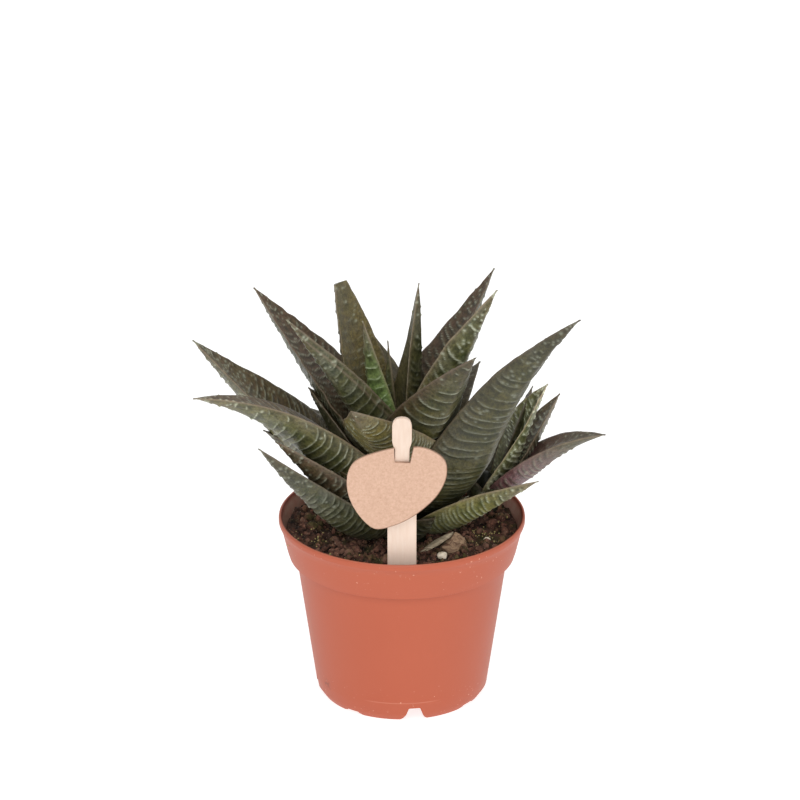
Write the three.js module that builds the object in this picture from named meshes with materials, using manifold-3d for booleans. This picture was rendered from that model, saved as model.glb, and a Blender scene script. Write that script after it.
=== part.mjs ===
// Potted haworthia: a small zebra-ridged succulent with one offset, growing in a
// plastic nursery pot, with a wooden plant stick that carries a blank kraft label.
// Millimetres, +Z up. The origin is the middle of the pot's foot, on the surface
// that it stands on. The label faces -Y.
import * as THREE from 'three';
import { mergeVertices } from 'three/addons/utils/BufferGeometryUtils.js';
import Module from 'manifold-3d';

const wasm = await Module();
wasm.setup();

// Edges shorter than this are folded into one corner
const SHORTEST_EDGE = 0.01;

// Pot: a 9 cm nursery pot with a collar, a step below it and a notched foot
const RIM_RADIUS = 45;
const POT_HEIGHT = 69.4;
const COLLAR_HEIGHT = 15.2;
const COLLAR_FOOT_RADIUS = 41.4;
const BODY_TOP_RADIUS = 38.8;
const FOOT_RADIUS = 30;
const WALL = 1.1;
const FLOOR_UNDERSIDE = 6.4;
const FLOOR_THICKNESS = 1.3;
const POT_SEGMENTS = 60;
const NOTCH_COUNT = 8;
const FIRST_NOTCH_ANGLE = -81.6;
const NOTCH_HEIGHT = 5.6;
const NOTCH_TOP_WIDTH = 4.6;
const NOTCH_MOUTH_WIDTH = 11.2;
const NOTCH_FLARE = 2.1;
const NOTCH_CORNER = 0.8;
const SHALLOW_NOTCH_HEIGHT = 1.4;
const SHALLOW_NOTCH_TOP_WIDTH = 5.4;
const DRAIN_COUNT = 8;
const DRAIN_RADIUS = 2.5;
const DRAIN_CIRCLE_RADIUS = 17;

// Soil: fills the pot, dished round the stems, crumbly on top
const FIT = 0.35;
const SOIL_EDGE_LEVEL = 64.4;
const SOIL_DISH_LEVEL = 61.8;
const DISH_INNER_RADIUS = 20;
const DISH_OUTER_RADIUS = 36;
const CRUMB_HEIGHT = 0.6;
const SOIL_SEED = 11;
const SOIL_SPOKES = 48;

// Stems: each stands in a plain hole in the soil and ends in the crown of its rosette
const MAIN_STEM = { x: 0, y: 0, radius: 10.5, bottom: 50, crown: 100 };
const OFFSET_STEM = { x: 31, y: 16, radius: 4.6, bottom: 57, crown: 76 };
const STEM_SEGMENTS = 24;

// Leaves: ridge relief and section of a leaf, as shares of its half width
const RIDGE_PITCH = 11;
const RIDGE_RELIEF = 0.7;
const CHANNEL_DEPTH = 0.2;
const KEEL_DEPTH = 0.72;
const TIP_HALF_WIDTH = 0.55;
const WIDEST_SHARE = 0.7;
const LEAF_TAPER = 1.5;
const BASE_NARROWING = 0.62;

// Each leaf: foot and tip of its midline, width, how far the midline bows up,
// and how far the blade is rolled about it, in degrees.
// The order goes from the newest leaves in the crown to the oldest below.
const MAIN_LEAVES = [
  { foot: [-2, 1, 98], tip: [-5, 0, 138], width: 8, bow: 0, roll: 0 },
  { foot: [-2, -1, 98], tip: [-14, -8, 149], width: 16, bow: 0, roll: 0 },
  { foot: [-4, 2, 94], tip: [6, 6, 158], width: 21, bow: 2, roll: -18 },
  { foot: [-5, 3, 94], tip: [-25.5, 20, 164], width: 25, bow: 3, roll: 0, cut: 0.865 },
  { foot: [-5, 0, 97], tip: [33.5, 18, 159], width: 31, bow: 2, roll: 0, taper: 1.15 },
  { foot: [-1, -1, 98], tip: [34, -8, 161], width: 25, bow: 5, roll: -34, taper: 1.3 },
  { foot: [1, -1, 99], tip: [-41, -26, 157], width: 24, bow: 2, roll: 25, taper: 1 },
  { foot: [-3, 1, 94], tip: [-54, 24, 149], width: 30, bow: 5, roll: 0 },
  { foot: [-1, -2, 94], tip: [26, -42, 149], width: 34, bow: 12, roll: 0, taper: 1.3 },
  { foot: [2, -4, 96], tip: [-18, -48, 131], width: 36, bow: 3, roll: 7, keel: 0.6 },
  { foot: [-1, 3, 88], tip: [-21, 48, 133], width: 28, bow: 8, roll: 0 },
  { foot: [1, 3, 88], tip: [23, 48, 124], width: 28, bow: 8, roll: 0 },
  { foot: [7.8, -3.2, 74], tip: [63, -36, 161], width: 34, bow: 21.5, roll: -24, keel: 0.8, taper: 1 },
  { foot: [-3, 0, 80], tip: [-75, -14, 144], width: 37, bow: -2, roll: -14 },
  { foot: [-3, -2, 79], tip: [-74, -40, 132.4], width: 36, bow: 26, roll: 6, taper: 1.25 },
  { foot: [-3, 0, 84], tip: [-34, 4, 118], width: 28, bow: 4, roll: 0 },
  { foot: [2, 2, 82], tip: [29, 45, 111], width: 22, bow: 8, roll: 0 },
  { foot: [-2, 2, 76], tip: [-44, 36, 99], width: 26, bow: 10, roll: 0 },
  { foot: [0, 3, 74], tip: [-3, 48, 98], width: 26, bow: 10, roll: 0 },
  { foot: [-3, -1, 76], tip: [-50, -12, 108], width: 26, bow: 4, roll: 0 },
  { foot: [-3, -2, 69], tip: [-45, -36, 114], width: 28, bow: 4, roll: 0 },
  { foot: [-2, 2, 70], tip: [-36, 38, 86], width: 24, bow: 8, roll: 0 },
  { foot: [3, -5, 67], tip: [24, -14.5, 83], width: 18, bow: 1, roll: 0, keel: 0.6 },
  { foot: [4, -1, 67], tip: [49, -28, 95], width: 22, bow: 2, roll: -20 },
  { foot: [-4, -5, 68.2], tip: [-51, -40, 113], width: 27, bow: -5, roll: 6 },
];
const OFFSET_LEAVES = [
  { foot: [31, 16, 72], tip: [47.7, 16, 113.4], width: 20, bow: 3, roll: 0 },
  { foot: [29.5, 14.5, 72], tip: [53, 8, 117.5], width: 20, bow: 10, roll: 30 },
  { foot: [32, 16, 72], tip: [58, 24, 107], width: 20, bow: 4, roll: 0 },
  { foot: [32, 15.5, 73], tip: [74, 0, 101], width: 22, bow: 14, roll: 0 },
  { foot: [32, 17, 72], tip: [50, 44, 96], width: 20, bow: 8, roll: 0 },
  { foot: [31, 17, 72], tip: [32, 44, 98], width: 18, bow: 6, roll: 0 },
];
// Short old leaves that clasp each stem in a ring just above the soil
const MAIN_SHEATHS = { count: 7, first: 42, foot: 66, reach: 24, rise: 11, width: 19, bow: 3 };
const OFFSET_SHEATHS = { count: 5, first: 228, foot: 66, reach: 9, rise: 14, width: 11, bow: 2 };

// Plant stick: leans a little towards the front. Heights run along it from the soil.
const STICK_Y = -36.5;
const STICK_LEAN = 7;
const STICK_WIDTH = 10.4;
const STICK_THICKNESS = 1.2;
const STICK_BURIED = 16;
const STICK_POINT = 6;
const STICK_TOP = 63.2;
const HEAD_WIDTH = 7;
const HEAD_MIDDLE = 58.8;
const WAIST_WIDTH = 5.2;
const WAIST_HEIGHT = 44.6;
const SHOULDER_HEIGHT = 37.5;
const STICK_SOIL_LEVEL = 64;

// Label: a rounded triangle of stiff kraft board, with a slit for the stick's neck
const LABEL_THICKNESS = 1;
const LABEL_TILT = 7;
const LABEL_OUTLINE = [
  [-16.3, 46.2], [-8, 49.7], [2.5, 51.6], [9.9, 50.4], [15.2, 46.4], [16, 40.7], [12.8, 32.9],
  [4.5, 24.8], [-3, 20.8], [-9.6, 19.6], [-14.3, 23.5], [-18.5, 30.9], [-19.7, 37.5], [-18.8, 42.7],
];
const LABEL_OUTLINE_STEPS = 60;
const SLIT_BOTTOM_WIDTH = 5.8;
const SLIT_TOP_WIDTH = 9;

// Loose pieces on the soil
const BARK_CHIP = { x: 19, y: -21, length: 12.5, width: 7, height: 7, turn: 24, lift: -0.1, seed: 5 };
const PERLITE_GRAINS = [
  { x: 14.5, y: -29, radius: 1.5, lift: 0.6, seed: 20 },
  { x: 31, y: -11.5, radius: 1.2, lift: 0.25, seed: 21 },
];

const UP = new THREE.Vector3(0, 0, 1);
const deg = THREE.MathUtils.degToRad;

// Repeatable random numbers from 0 to 1
function makeRandom(seed) {
  let state = seed;
  return () => {
    state = (state * 1664525 + 1013904223) % 4294967296;
    return state / 4294967296;
  };
}

function toSolid(geometry) {
  const bare = geometry.clone();
  bare.deleteAttribute('normal');
  bare.deleteAttribute('uv');
  const welded = mergeVertices(bare, 1e-5);
  return new wasm.Manifold(new wasm.Mesh({
    numProp: 3,
    vertProperties: new Float32Array(welded.attributes.position.array),
    triVerts: new Uint32Array(welded.index.array),
    tolerance: SHORTEST_EDGE,
  }));
}

function toGeometry(solid) {
  const mesh = solid.getMesh();
  const geometry = new THREE.BufferGeometry();
  geometry.setAttribute('position', new THREE.BufferAttribute(mesh.vertProperties, 3));
  geometry.setIndex(new THREE.BufferAttribute(mesh.triVerts, 1));
  geometry.computeVertexNormals();
  return geometry;
}

// The outer skin of a joined solid: fills its sealed hollows and drops loose scraps
function outerSkin(solid) {
  const bodies = toSolid(toGeometry(solid)).decompose();
  return bodies.sort((a, b) => b.volume() - a.volume())[0];
}

function fromTriangles(points, faces) {
  const geometry = new THREE.BufferGeometry();
  geometry.setAttribute('position', new THREE.Float32BufferAttribute(points.flat(), 3));
  geometry.setIndex(faces.flat());
  return geometry;
}

// A lathe about Z from a closed profile of [radius, height] points
function turned(profile, segments) {
  const points = profile.map(([radius, height]) => new THREE.Vector2(radius, height));
  return new THREE.LatheGeometry(points, segments).rotateX(Math.PI / 2);
}

// A prism of an outline in the XZ plane, with its front face at y = 0 and its back behind it
function upright(shape, thickness, curveSegments) {
  const options = { depth: thickness, bevelEnabled: false, curveSegments };
  return new THREE.ExtrudeGeometry(shape, options).rotateX(Math.PI / 2).translate(0, thickness, 0);
}

// Share of the full half width, at a share of the leaf's length from its tip
function widthShare(fromTip, taper) {
  if (fromTip < WIDEST_SHARE) return 1 - (1 - fromTip / WIDEST_SHARE) ** taper;
  const towardsFoot = (fromTip - WIDEST_SHARE) / (1 - WIDEST_SHARE);
  return 1 - BASE_NARROWING * towardsFoot ** 2.5;
}

// One leaf: channelled above, keeled below, with ridges across its underside
function leafGeometry({ foot, tip, width, bow, roll, keel = KEEL_DEPTH, taper = LEAF_TAPER, cut = 1 }) {
  const start = new THREE.Vector3(...foot);
  const end = new THREE.Vector3(...tip);
  const middle = start.clone().lerp(end, 0.4).addScaledVector(UP, bow);
  const midline = new THREE.QuadraticBezierCurve3(start, middle, end);
  const heading = end.clone().sub(start).setZ(0).normalize();
  const level = new THREE.Vector3(-heading.y, heading.x, 0);
  const section = [
    [1, 0, 0], [0, -CHANNEL_DEPTH, 0], [-1, 0, 0],
    [-0.74, -0.4 * keel, 0.5], [-0.38, -0.8 * keel, 0.9], [0, -keel, 1],
    [0.38, -0.8 * keel, 0.9], [0.74, -0.4 * keel, 0.5],
  ];
  const stations = 2 * Math.round(cut * start.distanceTo(end) / RIDGE_PITCH) + 1;
  const points = [];
  for (let station = 0; station < stations; station += 1) {
    const along = cut * station / (stations - 1);
    const centre = midline.getPoint(along);
    const forward = midline.getTangent(along);
    const side = level.clone().addScaledVector(forward, -level.dot(forward)).normalize();
    const above = new THREE.Vector3().crossVectors(forward, side);
    const twist = deg(roll) * Math.min(1, 1.5 * along);
    side.applyAxisAngle(forward, twist);
    above.applyAxisAngle(forward, twist);
    const half = Math.max(TIP_HALF_WIDTH, width / 2 * widthShare(1 - along, taper));
    const crest = station % 2 === 0 ? 0 : 1;
    const relief = RIDGE_RELIEF * crest * Math.min(1, half / 4);
    for (const [across, height, ridge] of section) {
      const point = centre.clone();
      point.addScaledVector(side, across * half);
      point.addScaledVector(above, height * half - ridge * relief);
      points.push(point.toArray());
    }
  }
  return fromTriangles(points, tubeFaces(stations, section.length));
}

// Triangles of a closed tube of rings, with a fan on each end
function tubeFaces(rings, sides) {
  const faces = [];
  for (let ring = 0; ring < rings - 1; ring += 1) {
    for (let side = 0; side < sides; side += 1) {
      const a = ring * sides + side;
      const b = ring * sides + (side + 1) % sides;
      faces.push([a, b, b + sides], [a, b + sides, a + sides]);
    }
  }
  const last = (rings - 1) * sides;
  for (let side = 1; side < sides - 1; side += 1) {
    faces.push([0, side + 1, side], [last, last + side, last + side + 1]);
  }
  return faces;
}

// A ring of short leaves round a stem
function sheaths(stem, { count, first, foot, reach, rise, width, bow }) {
  return Array.from({ length: count }, (_, index) => {
    const angle = deg(first + 360 * index / count);
    const at = (radius, height) => [
      stem.x + radius * Math.cos(angle), stem.y + radius * Math.sin(angle), height,
    ];
    return { foot: at(stem.radius * 0.3, foot), tip: at(reach, foot + rise), width, bow, roll: 0 };
  });
}

// A stem with its leaves, joined in one solid
function rosette(stem, leaves, ring) {
  const { radius, bottom, crown } = stem;
  const column = turned([
    [0, bottom], [radius - 2, bottom], [radius, bottom + 3], [radius, SOIL_DISH_LEVEL + 3],
    [radius * 0.88, crown - 8], [radius * 0.72, crown], [radius * 0.3, crown + 3], [0, crown + 3.5],
  ], STEM_SEGMENTS).translate(stem.x, stem.y, 0);
  let plant = toSolid(column);
  for (const leaf of [...leaves, ...sheaths(stem, ring)]) plant = plant.add(toSolid(leafGeometry(leaf)));
  return toGeometry(outerSkin(plant));
}

// Radius of the pot's outside, on the body below the collar
function bodyRadius(height) {
  const shoulder = POT_HEIGHT - COLLAR_HEIGHT;
  return FOOT_RADIUS + 1 + (BODY_TOP_RADIUS - FOOT_RADIUS - 1) * height / shoulder;
}

function potGeometry() {
  const shoulder = POT_HEIGHT - COLLAR_HEIGHT;
  const floorTop = FLOOR_UNDERSIDE + FLOOR_THICKNESS;
  const profile = [
    [0, FLOOR_UNDERSIDE], [bodyRadius(FLOOR_UNDERSIDE) - 2.6, FLOOR_UNDERSIDE],
    [FOOT_RADIUS - 2.6, 0], [FOOT_RADIUS - 0.9, 0], [FOOT_RADIUS, 0.9],
    [bodyRadius(3), 3], [bodyRadius(8), 8], [BODY_TOP_RADIUS, shoulder - 1],
    [BODY_TOP_RADIUS + 0.6, shoulder - 0.2], [COLLAR_FOOT_RADIUS - 0.3, shoulder],
    [COLLAR_FOOT_RADIUS, shoulder + 0.5], [RIM_RADIUS + 0.1, POT_HEIGHT - 2.2],
    [RIM_RADIUS + 0.1, POT_HEIGHT - 1], [RIM_RADIUS - 0.4, POT_HEIGHT - 0.1],
    [RIM_RADIUS - 1, POT_HEIGHT], [RIM_RADIUS - 1.4, POT_HEIGHT - 0.4],
    [RIM_RADIUS - 1.6, POT_HEIGHT - 2.2],
    [COLLAR_FOOT_RADIUS - WALL - 0.3, shoulder + 0.2], [BODY_TOP_RADIUS - WALL, shoulder - 1.6],
    [bodyRadius(floorTop) - WALL - 0.4, floorTop + 1.6], [bodyRadius(floorTop) - WALL - 2, floorTop],
    [0, floorTop],
  ];
  let pot = toSolid(turned(profile, POT_SEGMENTS));

  const deep = notchCutter(NOTCH_HEIGHT, NOTCH_TOP_WIDTH);
  const shallow = notchCutter(SHALLOW_NOTCH_HEIGHT, SHALLOW_NOTCH_TOP_WIDTH);
  for (let index = 0; index < NOTCH_COUNT; index += 1) {
    const angle = deg(FIRST_NOTCH_ANGLE + 90 + index * 360 / NOTCH_COUNT);
    const cutter = index % 2 === 0 ? deep : shallow;
    pot = pot.subtract(toSolid(cutter.clone().rotateZ(angle)));
  }
  for (let index = 0; index < DRAIN_COUNT; index += 1) {
    const angle = deg(FIRST_NOTCH_ANGLE + index * 360 / DRAIN_COUNT);
    const drain = new THREE.CylinderGeometry(DRAIN_RADIUS, DRAIN_RADIUS, 6, 8).rotateX(Math.PI / 2);
    const middle = FLOOR_UNDERSIDE + FLOOR_THICKNESS / 2;
    drain.translate(Math.cos(angle) * DRAIN_CIRCLE_RADIUS, Math.sin(angle) * DRAIN_CIRCLE_RADIUS, middle);
    pot = pot.subtract(toSolid(drain));
  }
  return toGeometry(pot);
}

// What a notch in the foot takes away: an arch that flares where it meets the ground
function notchCutter(height, topWidth) {
  const side = NOTCH_MOUTH_WIDTH / 2;
  const top = topWidth / 2;
  const corner = Math.min(NOTCH_CORNER, height / 2);
  const mouth = new THREE.Shape();
  mouth.moveTo(-side, -1);
  mouth.lineTo(side, -1);
  mouth.lineTo(side, 0);
  mouth.bezierCurveTo(side - NOTCH_FLARE, height / 18, top + 0.9, height / 2, top, height - corner);
  mouth.quadraticCurveTo(top, height, top - corner, height);
  mouth.lineTo(corner - top, height);
  mouth.quadraticCurveTo(-top, height, -top, height - corner);
  mouth.bezierCurveTo(-top - 0.9, height / 2, NOTCH_FLARE - side, height / 18, -side, 0);
  return upright(mouth, 8, 3).translate(0, -FOOT_RADIUS - 3, 0);
}

// Height of the soil's surface at a radius, without its crumbs
function soilLevel(radius) {
  const share = THREE.MathUtils.smoothstep(radius, DISH_INNER_RADIUS, DISH_OUTER_RADIUS);
  return SOIL_DISH_LEVEL + (SOIL_EDGE_LEVEL - SOIL_DISH_LEVEL) * share;
}

// The soil: a plug on the pot's floor whose top is a crumbly disc of rings and spokes
function soilGeometry() {
  const random = makeRandom(SOIL_SEED);
  const floorTop = FLOOR_UNDERSIDE + FLOOR_THICKNESS;
  const shoulder = POT_HEIGHT - COLLAR_HEIGHT;
  const topRadius = COLLAR_FOOT_RADIUS - WALL - 0.3 - FIT
    + (SOIL_EDGE_LEVEL - shoulder) * (RIM_RADIUS - COLLAR_FOOT_RADIUS) / COLLAR_HEIGHT - 0.5;
  const wall = [
    [bodyRadius(floorTop) - WALL - 3, floorTop + FIT],
    [bodyRadius(floorTop) - WALL - 1, floorTop + FIT + 2],
    [BODY_TOP_RADIUS - WALL - FIT - 0.2, shoulder - 1.6],
    [COLLAR_FOOT_RADIUS - WALL - 0.3 - FIT - 0.3, shoulder + 0.8],
    [topRadius, SOIL_EDGE_LEVEL - 0.6],
  ];
  const topRings = [38.5, 34, 29.5, 25, 20.5, 16, 11.5, 6];
  const points = [[0, 0, floorTop + FIT]];
  const addRing = (radius, height, crumbs) => {
    for (let spoke = 0; spoke < SOIL_SPOKES; spoke += 1) {
      const angle = 2 * Math.PI * spoke / SOIL_SPOKES;
      const lift = crumbs ? CRUMB_HEIGHT * (2 * random() - 1) : 0;
      points.push([radius * Math.cos(angle), radius * Math.sin(angle), height + lift]);
    }
  };
  for (const [radius, height] of wall) addRing(radius, height, false);
  for (const radius of topRings) addRing(radius, soilLevel(radius), true);
  points.push([0, 0, SOIL_DISH_LEVEL]);
  const rings = wall.length + topRings.length;
  const faces = [];
  for (let spoke = 0; spoke < SOIL_SPOKES; spoke += 1) {
    const next = (spoke + 1) % SOIL_SPOKES;
    faces.push([0, 1 + next, 1 + spoke]);
    for (let ring = 0; ring < rings - 1; ring += 1) {
      const a = 1 + ring * SOIL_SPOKES + spoke;
      const b = 1 + ring * SOIL_SPOKES + next;
      faces.push([a, b, b + SOIL_SPOKES], [a, b + SOIL_SPOKES, a + SOIL_SPOKES]);
    }
    const last = 1 + (rings - 1) * SOIL_SPOKES;
    faces.push([last + spoke, last + next, points.length - 1]);
  }
  let soil = toSolid(fromTriangles(points, faces));
  for (const stem of [MAIN_STEM, OFFSET_STEM]) {
    const radius = stem.radius + FIT;
    const hole = new THREE.CylinderGeometry(radius, radius, 30, 32).rotateX(Math.PI / 2);
    hole.translate(stem.x, stem.y, stem.bottom - FIT + 15);
    soil = soil.subtract(toSolid(hole));
  }
  const slot = new THREE.BoxGeometry(STICK_WIDTH + 2 * FIT, STICK_THICKNESS + 2 * FIT, STICK_BURIED + 12);
  slot.translate(0, STICK_THICKNESS / 2, (12 - STICK_BURIED) / 2 - FIT);
  soil = soil.subtract(toSolid(placeOnStick(slot)));
  return toGeometry(soil);
}

// Moves a shape from the stick's own frame, where z = 0 is the soil, to its place
function placeOnStick(geometry) {
  return geometry.rotateX(deg(STICK_LEAN)).translate(0, STICK_Y, STICK_SOIL_LEVEL);
}

function stickGeometry() {
  const shape = new THREE.Shape();
  const half = STICK_WIDTH / 2;
  const head = HEAD_WIDTH / 2;
  const waist = WAIST_WIDTH / 2;
  shape.moveTo(0, -STICK_BURIED);
  shape.lineTo(half, STICK_POINT - STICK_BURIED);
  shape.lineTo(half, SHOULDER_HEIGHT);
  shape.quadraticCurveTo(half, WAIST_HEIGHT - 2, waist, WAIST_HEIGHT);
  shape.bezierCurveTo(waist, WAIST_HEIGHT + 5, head, HEAD_MIDDLE - 6, head, HEAD_MIDDLE);
  shape.bezierCurveTo(head, STICK_TOP - 1, head * 0.6, STICK_TOP, 0, STICK_TOP);
  shape.bezierCurveTo(-head * 0.6, STICK_TOP, -head, STICK_TOP - 1, -head, HEAD_MIDDLE);
  shape.bezierCurveTo(-head, HEAD_MIDDLE - 6, -waist, WAIST_HEIGHT + 5, -waist, WAIST_HEIGHT);
  shape.quadraticCurveTo(-half, WAIST_HEIGHT - 2, -half, SHOULDER_HEIGHT);
  shape.lineTo(-half, STICK_POINT - STICK_BURIED);
  return placeOnStick(upright(shape, STICK_THICKNESS, 8));
}

// The label hangs in front of the stick, and its slit lets the neck through
function labelGeometry() {
  const corners = LABEL_OUTLINE.map(([x, height]) => new THREE.Vector3(x, height, 0));
  const curve = new THREE.CatmullRomCurve3(corners, true);
  const outline = curve.getPoints(LABEL_OUTLINE_STEPS).slice(0, -1).reverse();
  const shape = new THREE.Shape(outline.map(({ x, y }) => new THREE.Vector2(x, y)));
  const slit = new THREE.Shape();
  slit.moveTo(-SLIT_BOTTOM_WIDTH / 2, WAIST_HEIGHT - 0.4);
  slit.lineTo(SLIT_BOTTOM_WIDTH / 2, WAIST_HEIGHT - 0.4);
  slit.lineTo(SLIT_TOP_WIDTH / 2, STICK_TOP);
  slit.lineTo(-SLIT_TOP_WIDTH / 2, STICK_TOP);
  const board = toSolid(upright(shape, LABEL_THICKNESS, 1));
  const opening = toSolid(upright(slit, LABEL_THICKNESS + 2, 1).translate(0, -1, 0));
  const label = toGeometry(board.subtract(opening));
  label.translate(0, 0, -WAIST_HEIGHT).rotateX(deg(-LABEL_TILT));
  label.translate(0, -LABEL_THICKNESS - FIT - 0.05, WAIST_HEIGHT);
  return placeOnStick(label);
}

// A rough lump: a low-sided ball with its corners moved by chance
function lumpGeometry(size, seed) {
  const random = makeRandom(seed);
  const ball = new THREE.IcosahedronGeometry(1, 1);
  ball.deleteAttribute('normal');
  ball.deleteAttribute('uv');
  const lump = mergeVertices(ball, 1e-4);
  const position = lump.attributes.position;
  for (let index = 0; index < position.count; index += 1) {
    const swell = 0.85 + 0.3 * random();
    const point = new THREE.Vector3().fromBufferAttribute(position, index).multiplyScalar(swell);
    position.setXYZ(index, point.x * size[0] / 2, point.y * size[1] / 2, point.z * size[2] / 2);
  }
  return lump;
}

// Sets a lump on the soil: its lift from the soil's mean level keeps it just clear of the crumbs
function restOnSoil(geometry, { x, y, lift }) {
  geometry.computeBoundingBox();
  const level = soilLevel(Math.hypot(x, y)) + lift;
  return geometry.translate(x, y, level - geometry.boundingBox.min.z);
}

const materials = {
  pot: { color: 0xc86b54, roughness: 0.55, metalness: 0 },
  soil: { color: 0x3b2c22, roughness: 0.95, metalness: 0 },
  leaf: { color: 0x4a5444, roughness: 0.5, metalness: 0 },
  offsetLeaf: { color: 0x4e5a46, roughness: 0.5, metalness: 0 },
  wood: { color: 0xeccdb6, roughness: 0.8, metalness: 0 },
  kraft: { color: 0xdeb298, roughness: 0.85, metalness: 0 },
  bark: { color: 0x8a6a4c, roughness: 0.9, metalness: 0 },
  perlite: { color: 0xe6dccb, roughness: 0.9, metalness: 0 },
};

const object = new THREE.Group();

function addPart(name, geometry, finish) {
  const mesh = new THREE.Mesh(geometry, new THREE.MeshStandardMaterial(materials[finish]));
  mesh.name = name;
  object.add(mesh);
}

addPart('pot', potGeometry(), 'pot');
addPart('soil', soilGeometry(), 'soil');
addPart('main_rosette', rosette(MAIN_STEM, MAIN_LEAVES, MAIN_SHEATHS), 'leaf');
addPart('offset_rosette', rosette(OFFSET_STEM, OFFSET_LEAVES, OFFSET_SHEATHS), 'offsetLeaf');
addPart('label_stick', stickGeometry(), 'wood');
addPart('label_plate', labelGeometry(), 'kraft');

const chip = lumpGeometry([BARK_CHIP.length, BARK_CHIP.width, BARK_CHIP.height], BARK_CHIP.seed);
chip.rotateZ(deg(BARK_CHIP.turn));
addPart('bark_chip', restOnSoil(chip, BARK_CHIP), 'bark');
PERLITE_GRAINS.forEach((place, index) => {
  const { radius, seed } = place;
  const grain = lumpGeometry([2 * radius, 2 * radius, 1.6 * radius], seed);
  addPart(`perlite_grain_${index + 1}`, restOnSoil(grain, place), 'perlite');
});

export default object;
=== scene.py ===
import math

import bmesh
import bpy
import numpy as np
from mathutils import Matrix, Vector, noise


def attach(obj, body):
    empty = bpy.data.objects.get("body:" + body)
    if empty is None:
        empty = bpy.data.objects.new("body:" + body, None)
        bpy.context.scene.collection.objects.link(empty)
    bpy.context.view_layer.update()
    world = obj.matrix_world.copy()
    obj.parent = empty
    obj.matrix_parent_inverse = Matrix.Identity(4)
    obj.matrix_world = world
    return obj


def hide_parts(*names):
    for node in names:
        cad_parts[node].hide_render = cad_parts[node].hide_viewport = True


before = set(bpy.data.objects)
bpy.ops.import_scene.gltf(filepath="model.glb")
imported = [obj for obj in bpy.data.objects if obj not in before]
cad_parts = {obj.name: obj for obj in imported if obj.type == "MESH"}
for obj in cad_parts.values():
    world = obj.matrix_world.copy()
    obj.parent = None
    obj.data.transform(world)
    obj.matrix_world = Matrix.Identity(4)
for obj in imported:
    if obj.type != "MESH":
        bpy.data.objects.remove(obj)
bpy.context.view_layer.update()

# Looks of the potted haworthia: finely ridged leaves, pot, crumbly soil, stick and label.
# Sizes are in millimetres, as in the CAD part, and MM turns them into Blender's metres.
# Angles are in degrees.
MM = 0.001
UP = np.array([0.0, 0.0, 1.0])
scene = bpy.context.scene

# Pot
RIM_RADIUS = 45
POT_HEIGHT = 69.4
COLLAR_HEIGHT = 15.2
SHOULDER = POT_HEIGHT - COLLAR_HEIGHT
COLLAR_FOOT_RADIUS = 41.4
BODY_TOP_RADIUS = 38.8
FOOT_RADIUS = 30
FOOT_RING_WIDTH = 2.6
WALL = 1.1
FLOOR_UNDERSIDE = 6.4
FLOOR_THICKNESS = 1.3
FLOOR_TOP = FLOOR_UNDERSIDE + FLOOR_THICKNESS
POT_SEGMENTS = 192
NOTCH_COUNT = 8
FIRST_NOTCH_ANGLE = -81.6
NOTCH_HEIGHT = 5.6
NOTCH_TOP_WIDTH = 4.6
NOTCH_MOUTH_WIDTH = 11.2
NOTCH_FLARE = 2.1
NOTCH_CORNER = 0.8
SHALLOW_NOTCH_HEIGHT = 1.4
SHALLOW_NOTCH_TOP_WIDTH = 5.4
DRAIN_RADIUS = 2.5
DRAIN_CIRCLE_RADIUS = 17
DRAIN_SEGMENTS = 24
MOULD_LINE_HEIGHT = 7.9
MOULD_LINE_HALF = 0.3
# How far from the middle, to each side, the mould line starts to fade and is gone
MOULD_LINE_FADE = (9, 15)
# How far in from the rim the painted shade on its inner edge starts and ends
SHADED_EDGE = (0.7, 1.2)
# A grazed spot on the foot: its place, the radius of its core and how far it reaches
POT_GRAZE = {"x": -26, "y": -16, "z": 8.5, "core": 1.0, "reach": 3.2}

# Soil
SOIL_EDGE_LEVEL = 64.4
SOIL_DISH_LEVEL = 61.8
DISH_INNER_RADIUS = 20
DISH_OUTER_RADIUS = 36
SOIL_TOP_RADIUS = 42.3
SOIL_TO_FLOOR = 0.35
SOIL_SEGMENTS = 220
SOIL_RINGS = 64
# Crumbs: count, natural logarithm of the middle size and its spread, and largest size
CRUMB_COUNT = 1300
CRUMB_LOG_SIZE = -0.1
CRUMB_LOG_SPREAD = 0.55
LARGEST_CRUMB = 2.6
CRUMB_SEED = 41
YELLOW_CRUMB_SEED = 61
SPLINTER_SEED = 52

# Stems and leaves
MAIN_STEM = {"x": 0, "y": 0, "radius": 10.5, "bottom": 52, "crown": 100}
OFFSET_STEM = {"x": 31, "y": 16, "radius": 4.6, "bottom": 58, "crown": 76}
STEM_SEGMENTS = 48
MARGIN_THICKNESS = 0.6
TIP_HALF_WIDTH = 0.45
# The widest place as a share of the length from the tip, and how much the foot is narrower
WIDEST_SHARE = 0.7
BASE_NARROWING = 0.62
# Where along a leaf its midline bows most, and how fast its roll grows: 1.5 ends it at two thirds
BOW_PLACE = 0.4
ROLL_RATE = 1.5
# A ridge has a steep step towards the foot and falls off over a share of the gap to the next one
RIDGE_HEIGHT = 0.36
RIDGE_STEP = 0.3
RIDGE_FALL = 0.22
# Pale line on a ridge: its reach before and past the ridge
CREST_BEFORE = 0.24
CREST_PAST = 0.28
# Painted shade in the groove before a ridge: its place and width as shares of the gap
GROOVE_SHADE_PLACE = 0.3
GROOVE_SHADE_WIDTH = 0.22
TUBERCLE_HEIGHT = 0.3
TUBERCLE_RADII = (0.3, 0.5)
TUBERCLES_PER_AREA = 0.12
# Pale lines on a leaf: half widths, and how far inside the margin a double line lies
MARGIN_LINE = 0.3
SPINE_LINE = 0.5
DOUBLE_LINE_PLACE = 1.5
# Mesh steps along and across a leaf, and how much coarser leaves out of sight are
STEP_ALONG = 0.42
STEP_ACROSS = 0.72
HIDDEN = 1.6
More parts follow.
